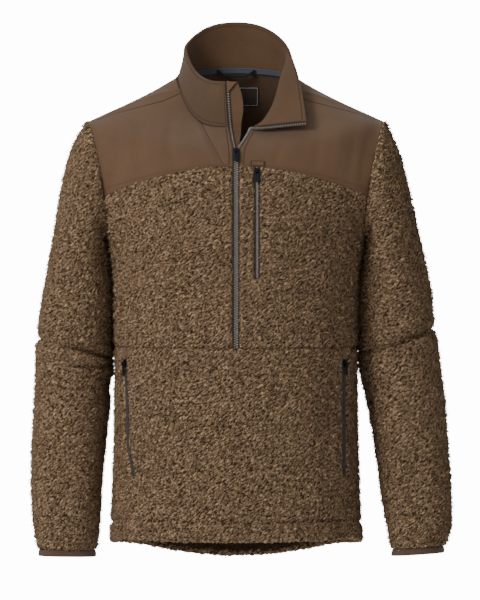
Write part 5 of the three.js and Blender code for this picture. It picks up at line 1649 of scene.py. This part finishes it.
class PULLOVER_OT_stage(bpy.types.Operator):
    """Makes the floor, the backdrop, the studio lights and the camera"""

    bl_idname = "pullover.stage"
    bl_label = "Stage"

    def execute(self, context):
        colours = context.scene.pullover_colours
        material, shader = new_material("stage_paint")
        shader.inputs["Base Color"].default_value = (*colours.floor, 1)
        shader.inputs["Roughness"].default_value = 0.9
        self.floor(context, material)
        self.world(context)
        self.lights(context)
        self.camera(context)
        return {"FINISHED"}

    def floor(self, context, material):
        """A round plain floor, well below the hem"""
        turn = 2 * np.pi * np.arange(96) / 96
        vertices = [(FLOOR_RADIUS * math.cos(a), FLOOR_RADIUS * math.sin(a), FLOOR_Z)
                    for a in turn]
        mesh = bpy.data.meshes.new("studio_floor")
        mesh.from_pydata(vertices, [], [list(range(len(vertices)))])
        mesh.materials.append(material)
        floor = bpy.data.objects.new("studio_floor", mesh)
        context.scene.collection.objects.link(floor)

    def world(self, context):
        """Soft light from all round, brighter where the camera sees it as the backdrop"""
        world = bpy.data.worlds.new("studio_world")
        world.use_nodes = True
        tree = world.node_tree
        background = tree.nodes["Background"]
        background.inputs["Color"].default_value = (1, 1, 1, 1)
        seen = tree.nodes.new("ShaderNodeLightPath").outputs["Is Camera Ray"]
        strength = tree.nodes.new("ShaderNodeMapRange")
        strength.inputs["To Min"].default_value = AMBIENT_LIGHT
        strength.inputs["To Max"].default_value = BACKDROP_LIGHT
        tree.links.new(seen, strength.inputs["Value"])
        tree.links.new(strength.outputs["Result"], background.inputs["Strength"])
        context.scene.world = world

    def lights(self, context):
        lamps = [
            ("key_light", (-3.2, -3.4, 1.9), (0, 0, -0.3), 1.6, 172),
            ("fill_light", (2.8, -3.6, 0.4), (0, 0, -0.35), 2.2, 16),
            ("top_light", (-0.4, 0.6, 3.0), (0, 0, -0.2), 1.6, 14),
        ]
        for name, place, aim, size, power in lamps:
            light = bpy.data.lights.new(name, "AREA")
            light.size = size
            light.energy = power
            lamp = bpy.data.objects.new(name, light)
            lamp.location = place
            way = np.array(aim) - np.array(place)
            lamp.rotation_euler = (
                math.acos(-way[2] / np.linalg.norm(way)), 0,
                math.atan2(way[1], way[0]) - math.pi / 2)
            context.scene.collection.objects.link(lamp)

    def camera(self, context):
        lens = bpy.data.cameras.new("photo_camera")
        lens.sensor_width = SENSOR
        frame_height = PHOTO_HEIGHT * MM_PER_PIXEL * MM
        lens.lens = SENSOR * CAMERA_DISTANCE / frame_height
        lens.clip_end = 100
        camera = bpy.data.objects.new("photo_camera", lens)
        centre_x = (PHOTO_WIDTH / 2 - NECK_PIXEL[0]) * MM_PER_PIXEL * MM
        centre_z = (NECK_PIXEL[1] - PHOTO_HEIGHT / 2) * MM_PER_PIXEL * MM
        camera.location = (centre_x, -CAMERA_DISTANCE * math.cos(CAMERA_ELEVATION),
                           centre_z + CAMERA_DISTANCE * math.sin(CAMERA_ELEVATION))
        camera.rotation_euler = (math.pi / 2 - CAMERA_ELEVATION, 0, 0)
        context.scene.collection.objects.link(camera)
        context.scene.camera = camera


class PULLOVER_OT_fleece_body(bpy.types.Operator):
    """Makes the fleece front, chest panels and back with their pile and turned hem"""

    bl_idname = "pullover.fleece_body"
    bl_label = "Fleece body"

    def execute(self, context):
        sizes, colours = context.scene.pullover_sizes, context.scene.pullover_colours
        pile = material_for("sherpa_pile", fleece_material, colours)
        backing = material_for("fleece_backing", backing_material, colours)

        def lower(row, column):
            pocket = within(row, POCKET_END_LEVEL, SEAM_LEVEL) & (
                within(column, POCKET_OUTER_LEFT, POCKET_INNER_LEFT)
                | within(column, POCKET_INNER_RIGHT, POCKET_OUTER_RIGHT))
            return (row < SEAM_LEVEL) & ~pocket

        def chest_left(row, column):
            slot = within(row, CHEST_ZIP_END_LEVEL, YOKE_LEVEL) & within(
                column, CHEST_ZIP_OUTER, CHEST_ZIP_INNER)
            return within(row, SEAM_LEVEL, YOKE_LEVEL) & (column < ZIP_EDGE_LEFT) & ~slot

        def chest_right(row, column):
            return within(row, SEAM_LEVEL, YOKE_LEVEL) & (column > ZIP_EDGE_RIGHT)

        panels = [
            ("lower_front", FRONT, lower, (0, SEAM_LEVEL), True),
            ("chest_left", FRONT, chest_left, (SEAM_LEVEL, YOKE_LEVEL), False),
            ("chest_right", FRONT, chest_right, (SEAM_LEVEL, YOKE_LEVEL), False),
            ("back_body", BACK, lambda row, column: row < YOKE_LEVEL, (0, YOKE_LEVEL), True),
        ]
        for name, grid, covers, span, hem in panels:
            sheet, nap, surface, covered = fleece_panel(
                name, grid, covers, span, sizes, pile, backing, hem)
            note_sheet(name, sheet, surface, covered, [nap])
        return {"FINISHED"}


class PULLOVER_OT_sleeves(bpy.types.Operator):
    """Makes both fleece sleeves and their elastic cuff bindings"""

    bl_idname = "pullover.sleeves"
    bl_label = "Sleeves and cuffs"

    def execute(self, context):
        sizes, colours = context.scene.pullover_sizes, context.scene.pullover_colours
        pile = material_for("sherpa_pile", fleece_material, colours)
        backing = material_for("fleece_backing", backing_material, colours)
        binding = material_for("cuff_binding_weave", woven_material, tuple(colours.binding),
                               threads=900.0, contrast=0.3, roughness=0.85,
                               bump_height=0.0005)
        for side, grid in SLEEVES.items():
            last = len(grid.points) - 1
            for part, span in (("upper", (0, ELBOW_ROW)), ("lower", (ELBOW_ROW, last))):
                sheet, nap, surface, covered = fleece_panel(
                    f"sleeve_{part}_{side}", grid, lambda row, column: row > -1, span, sizes,
                    pile, backing)
                note_sheet(f"sleeve_{part}_{side}", sheet, surface, covered, [nap])
            self.cuff(side, grid, binding, sizes)
        return {"FINISHED"}

    def cuff(self, side, grid, material, sizes):
        """A band that is gathered into small upright puckers by its elastic"""
        end, before = grid.points[-1], grid.points[-2]
        centre = end.mean(axis=0)
        down = unit(centre - before.mean(axis=0))
        spread = unit(end - centre)
        rings = [end + down * CUFF_HEIGHT * share + spread * CUFF_FLARE * share
                 for share in (0, 0.33, 0.67, 1)]
        normals = np.repeat(grid.normals[-1:], len(rings), axis=0)
        surface = Surface(Grid(np.array(rings), normals, True), 1.6, turns=False)
        across = surface.rows / surface.rows[-1]
        puckers = np.sin(surface.column_lengths * 1.5 + np.sin(surface.column_lengths * 0.31) * 2)
        round_edge = np.sqrt(np.clip(1 - (2 * across - 1) ** 6, 0.02, 1))[:, None]
        outer = BINDING_OUT * round_edge + 0.35 * puckers[None] * np.sin(np.pi * across)[:, None]
        covered = surface.cells(lambda row, column: row > -1)
        cuff = wall(Piece(), surface, covered, outer, BINDING_IN * round_edge).build(
            f"cuff_band_{side}", material, "cuff_binding", 60)
        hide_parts(f"cuff_{side}")
        note_sheet(f"cuff_{side}", cuff, surface, covered)


def yoke_surface(grid, sizes):
    """The yoke's surface, evened out away from its edges and the zip, with its soft folds"""
    surface = Surface(grid, sizes.woven_step / MM, YOKE_LEVEL, NECK_LEVEL)
    from_edge = np.minimum(surface.rows - YOKE_LEVEL, NECK_LEVEL - surface.rows)
    free = smooth(from_edge / 1.5)[:, None] * np.ones(len(surface.columns))
    if grid is FRONT:
        middle = (ZIP_EDGE_LEFT + ZIP_EDGE_RIGHT) / 2
        free = free * smooth((np.abs(surface.columns - middle) - 2.5) / 2)
    surface.relax(free, YOKE_EVENING)
    folds = fold_offsets(surface.points, surface.normals, YOKE_FOLDS)
    return surface.push(folds * sizes.fold_strength)


class PULLOVER_OT_yoke(bpy.types.Operator):
    """Makes the smooth yoke over the shoulders, front and back, with its soft folds"""

    bl_idname = "pullover.yoke"
    bl_label = "Yoke"

    def execute(self, context):
        sizes, colours = context.scene.pullover_sizes, context.scene.pullover_colours
        material = yoke_cloth(colours)
        pieces = [
            ("yoke_front_left", FRONT, lambda row, column: column < ZIP_EDGE_LEFT),
            ("yoke_front_right", FRONT, lambda row, column: column > ZIP_EDGE_RIGHT),
            ("yoke_back", BACK, lambda row, column: row > 0),
        ]
        for name, grid, covers in pieces:
            surface = yoke_surface(grid, sizes)
            covered = surface.cells(covers)
            cloth = wall(Piece(), surface, covered, WOVEN_OUT, WOVEN_IN).build(
                f"{name}_cloth", material, "yoke_cloth", 60)
            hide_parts(name)
            seams = Piece()
            self.seam_stitches(seams, surface, name, sizes)
            thread = seams.build(f"{name}_stitches", thread_cloth(colours), "yoke_cloth")
            note_sheet(name, cloth, surface, covered, [thread])
        return {"FINISHED"}

    def seam_stitches(self, piece, surface, name, sizes):
        """Topstitching along the edges of the yoke, on its outer face, with painted shadow lines
        along its seams and one crease
        """
        first, last = surface.columns[0], surface.columns[-1]
        if name == "yoke_front_left":
            last = ZIP_EDGE_LEFT
        if name == "yoke_front_right":
            first = ZIP_EDGE_RIGHT
        columns = np.linspace(first + 0.15, last - 0.15, 160)

        def on_cloth(rows, columns):
            points, normals = surface.place(rows, columns)
            return points + normals * WOVEN_OUT, normals

        stitch_line(piece, *on_cloth(np.full(columns.shape, YOKE_LEVEL + 0.45), columns), sizes,
                    width=0.5, bed=0.25)
        groove_shadow_line(piece, *on_cloth(np.full(columns.shape, NECK_LEVEL - 0.03), columns), 1.4)
        if name == "yoke_back":
            return
        side = 1 if name == "yoke_front_left" else -1
        rows = np.linspace(YOKE_LEVEL + 0.5, NECK_LEVEL - 0.2, 80)
        edge = ZIP_EDGE_LEFT - 0.28 if side > 0 else ZIP_EDGE_RIGHT + 0.14
        stitch_line(piece, *on_cloth(rows, np.full(rows.shape, edge)), sizes)
        line = np.array(SHOULDER_SEAM)
        x = np.linspace(line[0, 0], line[-1, 0], 60)
        z = np.interp(x, line[:, 0], line[:, 1])
        start = 3 if side > 0 else SIDE_RIGHT - 3
        rows, columns = surface.locate(side * x, z, TIP_LEVEL + 2, start)
        points, normals = on_cloth(rows, columns)
        groove_shadow_line(piece, points, normals, 1.7)
        # a painted shadow line along the diagonal crease of the yoke
        if side < 0:
            x = np.linspace(*YOKE_CREASE_X, 40)
            z = np.interp(x, YOKE_CREASE_X, YOKE_CREASE_Z)
            rows, columns = surface.locate(x, z, TIP_LEVEL - 1, ZIP_EDGE_RIGHT + 1)
            groove_shadow_line(piece, *on_cloth(rows, columns), 0.8)


class PULLOVER_OT_collar(bpy.types.Operator):
    """Makes the collar and its facing, with topstitching, and the guard behind the zip"""

    bl_idname = "pullover.collar"
    bl_label = "Collar"

    def execute(self, context):
        sizes, colours = context.scene.pullover_sizes, context.scene.pullover_colours
        surface = Surface(COLLAR, sizes.woven_step / MM)
        covered = surface.cells(lambda row, column: row > -1)
        layers = [
            ("collar", shaded_collar_cloth(colours), "yoke_cloth", COLLAR_LAYER + LAYER_SPLIT,
             -LAYER_SPLIT),
            ("collar_facing", facing_cloth(colours), "facing_cloth", -LAYER_SPLIT,
             COLLAR_LAYER + LAYER_SPLIT),
        ]
        top = len(COLLAR_SHARES) - 1
        last = surface.columns[-1]
        for name, material, slot, outer, inner in layers:
            layer = wall(Piece(), surface, covered, outer, inner).build(
                f"{name}_cloth", material, slot, 60)
            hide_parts(name)
            seams = Piece()
            face = COLLAR_LAYER + LAYER_SPLIT
            sign = 1 if name == "collar" else -1
            columns = np.linspace(0.3, last - 0.3, 260)
            for row in (top - 0.3, 0.85):
                points, normals = surface.place(np.full(columns.shape, row), columns)
                stitch_line(seams, points + normals * sign * face, normals * sign, sizes)
            points, normals = surface.place(np.full(columns.shape, 0.07), columns)
            groove_shadow_line(seams, points + normals * sign * face, normals * sign, 1.5)
            rows = np.linspace(0.5, top - 0.3, 40)
            for column in (0.25, last - 0.25):
                points, normals = surface.place(rows, np.full(rows.shape, column))
                stitch_line(seams, points + normals * sign * face, normals * sign, sizes)
            thread = seams.build(f"{name}_stitches", thread_cloth(colours), slot)
            note_sheet(name, layer, surface, covered, [thread])
        self.guard(colours, sizes)
        return {"FINISHED"}

    def guard(self, colours, sizes):
        tape = TAPES["right"]
        first = TIP_LEVEL - SEAM_LEVEL
        teeth, edge = tape.points[first:, 0], tape.points[first:, 1]
        across = unit(teeth - edge)
        widths = np.array(GUARD_WIDTHS)[:, None]
        foot = COLLAR_LAYER + LAYER_SPLIT + TRIM_LIFT
        grid = Grid(np.stack([edge + across * widths, edge], axis=1), tape.normals[first:])
        surface = Surface(grid, 2.5)
        covered = surface.cells(lambda row, column: row > -1)
        guard = wall(Piece(), surface, covered, -foot, foot + PATCH_THICKNESS).build(
            "zip_guard_cloth", facing_cloth(colours), "facing_cloth", 60)
        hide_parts("zip_guard")
        inset, foot_width = 2.6, 5
        corner = np.array([
            [edge[-2] + across[-2] * foot_width, edge[-2] + across[-2] * inset],
            [edge[-1] + across[-1] * GUARD_WIDTHS[-1], edge[-1] + across[-1] * inset]])
        fold = Surface(Grid(corner, tape.normals[-2:]), 2)
        lift = TAPE_HALF + 0.3 + TRIM_LIFT
        garage = wall(Piece(), fold, fold.cells(lambda row, column: row > -1),
                      lift + PATCH_THICKNESS, -lift).build(
            "zip_garage_cloth", yoke_cloth(colours), "yoke_cloth", 60)
        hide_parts("zip_garage")
        note_sheet("zip_guard", guard, surface, covered, [garage])


class PULLOVER_OT_zips(bpy.types.Operator):
    """Makes the tapes and teeth of the front, chest and pocket zips, and their garages"""

    bl_idname = "pullover.zips"
    bl_label = "Zips"

    def execute(self, context):
        sizes, colours = context.scene.pullover_sizes, context.scene.pullover_colours
        teeth_material = material_for("zip_teeth_plastic", hardware_material,
                                      tuple(colours.teeth), 0.0, 0.45)
        pitch = sizes.tooth_pitch / MM
        for index, (side, grid) in enumerate(TAPES.items()):
            surface = Surface(grid, 2.5)
            covered = surface.cells(lambda row, column: row > -1)
            tape = wall(Piece(), surface, covered, TAPE_HALF, TAPE_HALF).build(
                f"front_tape_{side}_cloth", tape_cloth(colours), "zip_tape", 60)
            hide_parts(f"front_tape_{side}")
            free = -1 if side == "left" else 0
            edge = 0 if side == "left" else -1
            row = Piece()
            tooth_row(row, surface.points[:, free], surface.normals[:, free],
                      surface.points[:, edge] - surface.points[:, free], pitch,
                      (pitch * 0.34, 3.1, 1.9), 0.5 * index)
            teeth = row.build(f"front_teeth_{side}", teeth_material, "zip_tape", 30)
            CUT_PIECES[f"chest_{side}"]["extras"] += [tape, teeth]
        self.pocket_zips(colours, sizes, teeth_material)
        return {"FINISHED"}

    def pocket_zips(self, colours, sizes, teeth_material):
        strips = [
            ("pocket_zip_left", POCKET_OUTER_LEFT, POCKET_END_LEVEL, POCKET_TOP_LEVEL),
            ("pocket_zip_right", POCKET_INNER_RIGHT, POCKET_END_LEVEL, POCKET_TOP_LEVEL),
            ("chest_zip", CHEST_ZIP_OUTER, CHEST_ZIP_END_LEVEL, YOKE_LEVEL),
        ]
        coils = (material_for("zip_coil", hardware_material, shade(colours.teeth, 0.16), 0.0, 0.5),
                 teeth_material)
        for name, column, low, high in strips:
            points = FRONT.points[:, column:column + 2]
            surface = Surface(Grid(points, FRONT.normals[:, column:column + 2]), 1.2, low, high)
            covered = surface.cells(lambda row, column: row > -1)
            groove = 0.5 * np.exp(-((surface.columns - 0.5) / 0.05) ** 2)[None]
            tape = wall(Piece(), surface, covered, TAPE_HALF - groove, TAPE_HALF).build(
                f"{name}_tape", tape_cloth(colours), "zip_tape", 60)
            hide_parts(name)
            coil = Piece()
            rows = np.linspace(low + 0.02, high - 0.02, 120)
            for side, shift in ((-1, 0.0), (1, 0.5)):
                points, normals = surface.place(rows, np.full(rows.shape, 0.5 + 0.02 * side))
                outer, _ = surface.place(rows, np.full(rows.shape, 0.5 + 0.3 * side))
                tooth_row(coil, points + normals * (TAPE_HALF + 0.1), normals, outer - points,
                          2.4, (1.2, 1.5, 1.1), shift)
            teeth = coil.build(f"{name}_teeth", coils[name == "chest_zip"], "zip_tape", 30)
            carrier = "chest_left" if name == "chest_zip" else "lower_front"
            CUT_PIECES[carrier]["extras"] += [tape, teeth]
        for side, column in (("left", POCKET_OUTER_LEFT), ("right", POCKET_INNER_RIGHT)):
            grid = Grid(FRONT.points[:, column:column + 2], FRONT.normals[:, column:column + 2])
            surface = Surface(grid, 1.5, POCKET_TOP_LEVEL, SEAM_LEVEL)
            covered = surface.cells(lambda row, column: row > -1)
            bulge = np.sin(np.pi * surface.columns / surface.columns[-1])[None] * 1.2
            garage = wall(Piece(), surface, covered, 2.6 + bulge, TAPE_HALF).build(
                f"pocket_garage_{side}_cloth", yoke_cloth(colours), "yoke_cloth", 60)
            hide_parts(f"pocket_garage_{side}")
            CUT_PIECES["lower_front"]["extras"].append(garage)


class PULLOVER_OT_trims(bpy.types.Operator):
    """Makes the chest zip's patch, the neck tape, the hanging loop and the bare size label"""

    bl_idname = "pullover.trims"
    bl_label = "Trims"

    def execute(self, context):
        sizes, colours = context.scene.pullover_sizes, context.scene.pullover_colours
        self.chest_garage(colours, sizes)
        self.neck_tape(colours, sizes)
        self.hang_loop(colours)
        self.label(colours, sizes)
        return {"FINISHED"}

    def label(self, colours, sizes):
        """A bare woven patch inside the back yoke, with nothing on it but its stitched border"""
        base = yoke_surface(BACK, sizes)
        across, down = np.meshgrid(np.linspace(*LABEL_X, 8), np.linspace(*LABEL_Z, 7))
        rows, columns = base.locate(across.ravel(), down.ravel(), NECK_LEVEL - 1,
                                    BACK_INTERVALS / 2 + 1)
        points, normals = base.place(rows, columns)
        shape = (*across.shape, 3)
        surface = Surface(Grid(points.reshape(shape), normals.reshape(shape)), 3)
        covered = surface.cells(lambda row, column: row > -1)
        foot = WOVEN_IN + LABEL_CLEAR
        outer, inner = -foot, foot + LABEL_THICKNESS
        patch = wall(Piece(), surface, covered, outer, inner)
        material = material_for("label_weave", woven_material, tuple(colours.label),
                                threads=2600.0, contrast=0.3, roughness=0.75)
        cloth = patch.build("label_patch", material, "neck_tape", 60)
        border = Piece()
        last_row, last_column = surface.rows[-1], surface.columns[-1]
        inset = 0.35
        corners = [(inset, inset), (inset, last_column - inset),
                   (last_row - inset, last_column - inset), (last_row - inset, inset),
                   (inset, inset)]
        for (row_a, column_a), (row_b, column_b) in zip(corners, corners[1:]):
            share = np.linspace(0, 1, 20)
            points, normals = surface.place(mix(row_a, row_b, share),
                                            mix(column_a, column_b, share))
            stitch_line(border, points - normals * inner, -normals, sizes, 0.7, bed=0.2)
        light = material_for("label_thread", thread_material, tuple(colours.label_thread))
        thread = border.build("label_border", light, "neck_tape")
        CUT_PIECES["yoke_back"]["extras"] += [cloth, thread]

    def chest_garage(self, colours, sizes):
        levels = np.array([0.12, 1, 1.95]) + YOKE_LEVEL
        reach = 0.24
        columns = np.array([CHEST_ZIP_OUTER - reach, CHEST_ZIP_OUTER, CHEST_ZIP_INNER,
                            CHEST_ZIP_INNER + reach])
        base = Surface(FRONT, 3, YOKE_LEVEL, TIP_LEVEL)
        rows = np.repeat(levels, len(columns))
        points, normals = base.place(rows, np.tile(columns, len(levels)))
        shape = (len(levels), len(columns), 3)
        surface = Surface(Grid(points.reshape(shape), normals.reshape(shape)), 1)
        covered = surface.cells(lambda row, column: row > -1)
        lift = WOVEN_OUT + TRIM_LIFT - 0.1
        patch = wall(Piece(), surface, covered, lift + PATCH_THICKNESS, -lift).build(
            "chest_garage_patch", yoke_cloth(colours), "yoke_cloth", 60)
        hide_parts("chest_garage")
        seams = Piece()
        face = lift + PATCH_THICKNESS
        across = np.linspace(0.2, surface.columns[-1] - 0.2, 24)
        for row in (0.25, surface.rows[-1] - 0.25):
            points, normals = surface.place(np.full(across.shape, row), across)
            stitch_line(seams, points + normals * face, normals, sizes, 0.6)
        down = np.linspace(0.1, surface.rows[-1] - 0.1, 12)
        for column in (0.15, surface.columns[-1] - 0.15):
            points, normals = surface.place(down, np.full(down.shape, column))
            groove_shadow_line(seams, points + normals * face, normals, 1.8)
        thread = seams.build("chest_garage_stitches", thread_cloth(colours), "yoke_cloth")
        CUT_PIECES["yoke_front_left"]["extras"] += [patch, thread]

    def neck_tape(self, colours, sizes):
        foot = COLLAR_LAYER + LAYER_SPLIT + TRIM_LIFT
        surface = Surface(COLLAR, 2, 0, 1)
        first, last = NECK_TAPE_ENDS
        covered = surface.cells(lambda row, column: within(column, first, last))
        material = material_for("neck_tape_weave", woven_material, tuple(colours.neck_tape),
                                threads=1100.0, contrast=0.3, roughness=0.8)
        tape = wall(Piece(), surface, covered, -foot, foot + PATCH_THICKNESS).build(
            "neck_tape_band", material, "neck_tape", 60)
        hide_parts("neck_tape")
        seams = Piece()
        columns = np.linspace(first + 0.1, last - 0.1, 200)
        face = foot + PATCH_THICKNESS
        for row in (0.16, 0.84):
            points, normals = surface.place(np.full(columns.shape, row), columns)
            stitch_line(seams, points - normals * face, -normals, sizes, 0.5)
        thread = seams.build("neck_tape_stitches", material, "neck_tape")
        CUT_PIECES["collar_facing"]["extras"] += [tape, thread]

    def hang_loop(self, colours):
        """Three strands twisted together along the sagging loop"""
        low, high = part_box("hang_loop")
        low, high = np.array(low) / MM, np.array(high) / MM
        half = (high[0] - low[0]) / 2 - 1
        middle = (low + high) / 2
        share = np.linspace(-1, 1, 90)
        drop = (high[2] - low[2]) - 3
        x = middle[0] + half * np.sign(share) * np.abs(share) ** 0.9
        z = high[2] - 1.5 - drop * np.clip(1 - np.abs(share) ** 3.2, 0, 1)
        route = np.stack([x, np.full(share.shape, middle[1]), z], axis=1)
        along = unit(np.gradient(route, axis=0))
        side = np.array([0, 1, 0])
        up = unit(np.cross(along, side))
        gaps = np.linalg.norm(np.diff(route, axis=0), axis=1)
        travelled = np.concatenate([[0], np.cumsum(gaps)])
        piece = Piece()
        strands, sides, twist, radius, offset = 3, 8, 2.6, 1.35, 1.15
        for strand in range(strands):
            turn = 2 * np.pi * (travelled / (twist * 2) + strand / strands)
            centre = route + side * (offset * np.cos(turn))[:, None] \
                + up * (offset * np.sin(turn))[:, None]
            around = 2 * np.pi * np.arange(sides) / sides
            ring = (side[None, None] * np.cos(around)[None, :, None]
                    + up[:, None] * np.sin(around)[None, :, None]) * radius
            vertices = (centre[:, None] + ring).reshape(-1, 3)
            faces = []
            for index in range(len(route) - 1):
                for corner in range(sides):
                    a = index * sides + corner
                    b = index * sides + (corner + 1) % sides
                    faces.append([b, a, a + sides, b + sides])
            piece.add(vertices, np.array(faces))
        material = material_for("loop_braid", woven_material, tuple(colours.cord), threads=1600.0,
                                contrast=0.4, roughness=0.7)
        loop = piece.build("hang_loop_cord", material, "hang_loop")
        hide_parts("hang_loop")


class PULLOVER_OT_sliders(bpy.types.Operator):
    """Rounds the edges of the sliders and pull tabs and paints them"""

    bl_idname = "pullover.sliders"
    bl_label = "Sliders and pulls"

    def execute(self, context):
        colours = context.scene.pullover_colours
        metal = material_for("slider_paint", hardware_material, tuple(colours.hardware), 0.1,
                             0.42)
        plastic = material_for("pull_plastic", hardware_material, tuple(colours.hardware), 0.0,
                               0.5)
        bodies = {node: body for body, nodes in frame["record"]["behaviour"]["bodies"].items()
                  for node in nodes}
        for name in ("front", "chest", "pocket_right", "pocket_left"):
            stem, _, side = name.partition("_")
            ending = f"_{side}" if side else ""
            for kind, material, slot in (("slider", metal, "zip_slider"),
                                         ("pull", plastic, "zip_pull")):
                node = f"{stem}_{kind}{ending}"
                widening = CHEST_PULL_WIDENING if node == "chest_pull" else 1
                self.rounded(context, node, material, slot, bodies[node], widening)
        return {"FINISHED"}

    def rounded(self, context, node, material, slot, body, widening):
        source = bpy.data.objects[node]
        mesh = source.data.copy()
        spots = np.empty(3 * len(mesh.vertices))
        mesh.vertices.foreach_get("co", spots)
        spots = spots.reshape(-1, 3)
        middle = (spots[:, 0].min() + spots[:, 0].max()) / 2
        spots[:, 0] = middle + (spots[:, 0] - middle) * widening
        mesh.vertices.foreach_set("co", spots.reshape(-1))
        mesh.materials.clear()
        mesh.materials.append(material)
        piece = bpy.data.objects.new(f"{node}_rounded", mesh)
        context.scene.collection.objects.link(piece)
        weld = piece.modifiers.new("weld", "WELD")
        weld.merge_threshold = 0.00001
        bevel = piece.modifiers.new("rounding", "BEVEL")
        bevel.width = 0.00028
        bevel.segments = 2
        bevel.limit_method = "ANGLE"
        bevel.angle_limit = math.radians(30)
        graph = context.evaluated_depsgraph_get()
        finished = bpy.data.meshes.new_from_object(piece.evaluated_get(graph))
        piece.modifiers.clear()
        piece.data = finished
        finished.polygons.foreach_set("use_smooth", [True] * len(finished.polygons))
        finished.set_sharp_from_angle(angle=math.radians(35))
        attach(piece, body)
        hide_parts(node)


class PULLOVER_OT_cloth_sizes(bpy.types.Operator):
    bl_idname = "pullover.cloth_sizes"
    bl_label = "Cloth sizes"

    def execute(self, context):
        for cut in CUT_PIECES.values():
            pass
        return {"FINISHED"}


OPERATORS = (
    PULLOVER_OT_stage,
    PULLOVER_OT_fleece_body,
    PULLOVER_OT_sleeves,
    PULLOVER_OT_yoke,
    PULLOVER_OT_collar,
    PULLOVER_OT_zips,
    PULLOVER_OT_trims,
    PULLOVER_OT_sliders,
    PULLOVER_OT_cloth_sizes,
)


class PULLOVER_PT_panel(bpy.types.Panel):
    """Lists the steps that build the pullover, with its sizes and colours"""

    bl_idname = "PULLOVER_PT_panel"
    bl_label = "Fleece Pullover"
    bl_space_type = "VIEW_3D"
    bl_region_type = "UI"
    bl_category = "Pullover"

    def draw(self, context):
        layout = self.layout
        for group in (context.scene.pullover_sizes, context.scene.pullover_colours):
            for name in group.__annotations__:
                layout.prop(group, name)
        for operator in OPERATORS:
            layout.operator(operator.bl_idname)


CLASSES = (PulloverSizes, PulloverColours, *OPERATORS, PULLOVER_PT_panel)


def register():
    for item in CLASSES:
        bpy.utils.register_class(item)
    bpy.types.Scene.pullover_sizes = PointerProperty(type=PulloverSizes)
    bpy.types.Scene.pullover_colours = PointerProperty(type=PulloverColours)


def unregister():
    del bpy.types.Scene.pullover_colours
    del bpy.types.Scene.pullover_sizes
    for item in reversed(CLASSES):
        bpy.utils.unregister_class(item)


def plain(box):
    return [[float(value) for value in corner] for corner in box]


def main():
    register()
    bpy.ops.pullover.stage()
    bpy.ops.pullover.fleece_body()
    bpy.ops.pullover.sleeves()
    bpy.ops.pullover.yoke()
    bpy.ops.pullover.collar()
    bpy.ops.pullover.zips()
    bpy.ops.pullover.trims()
    bpy.ops.pullover.sliders()
    bpy.ops.pullover.cloth_sizes()


if __name__ == "__main__":
    main()
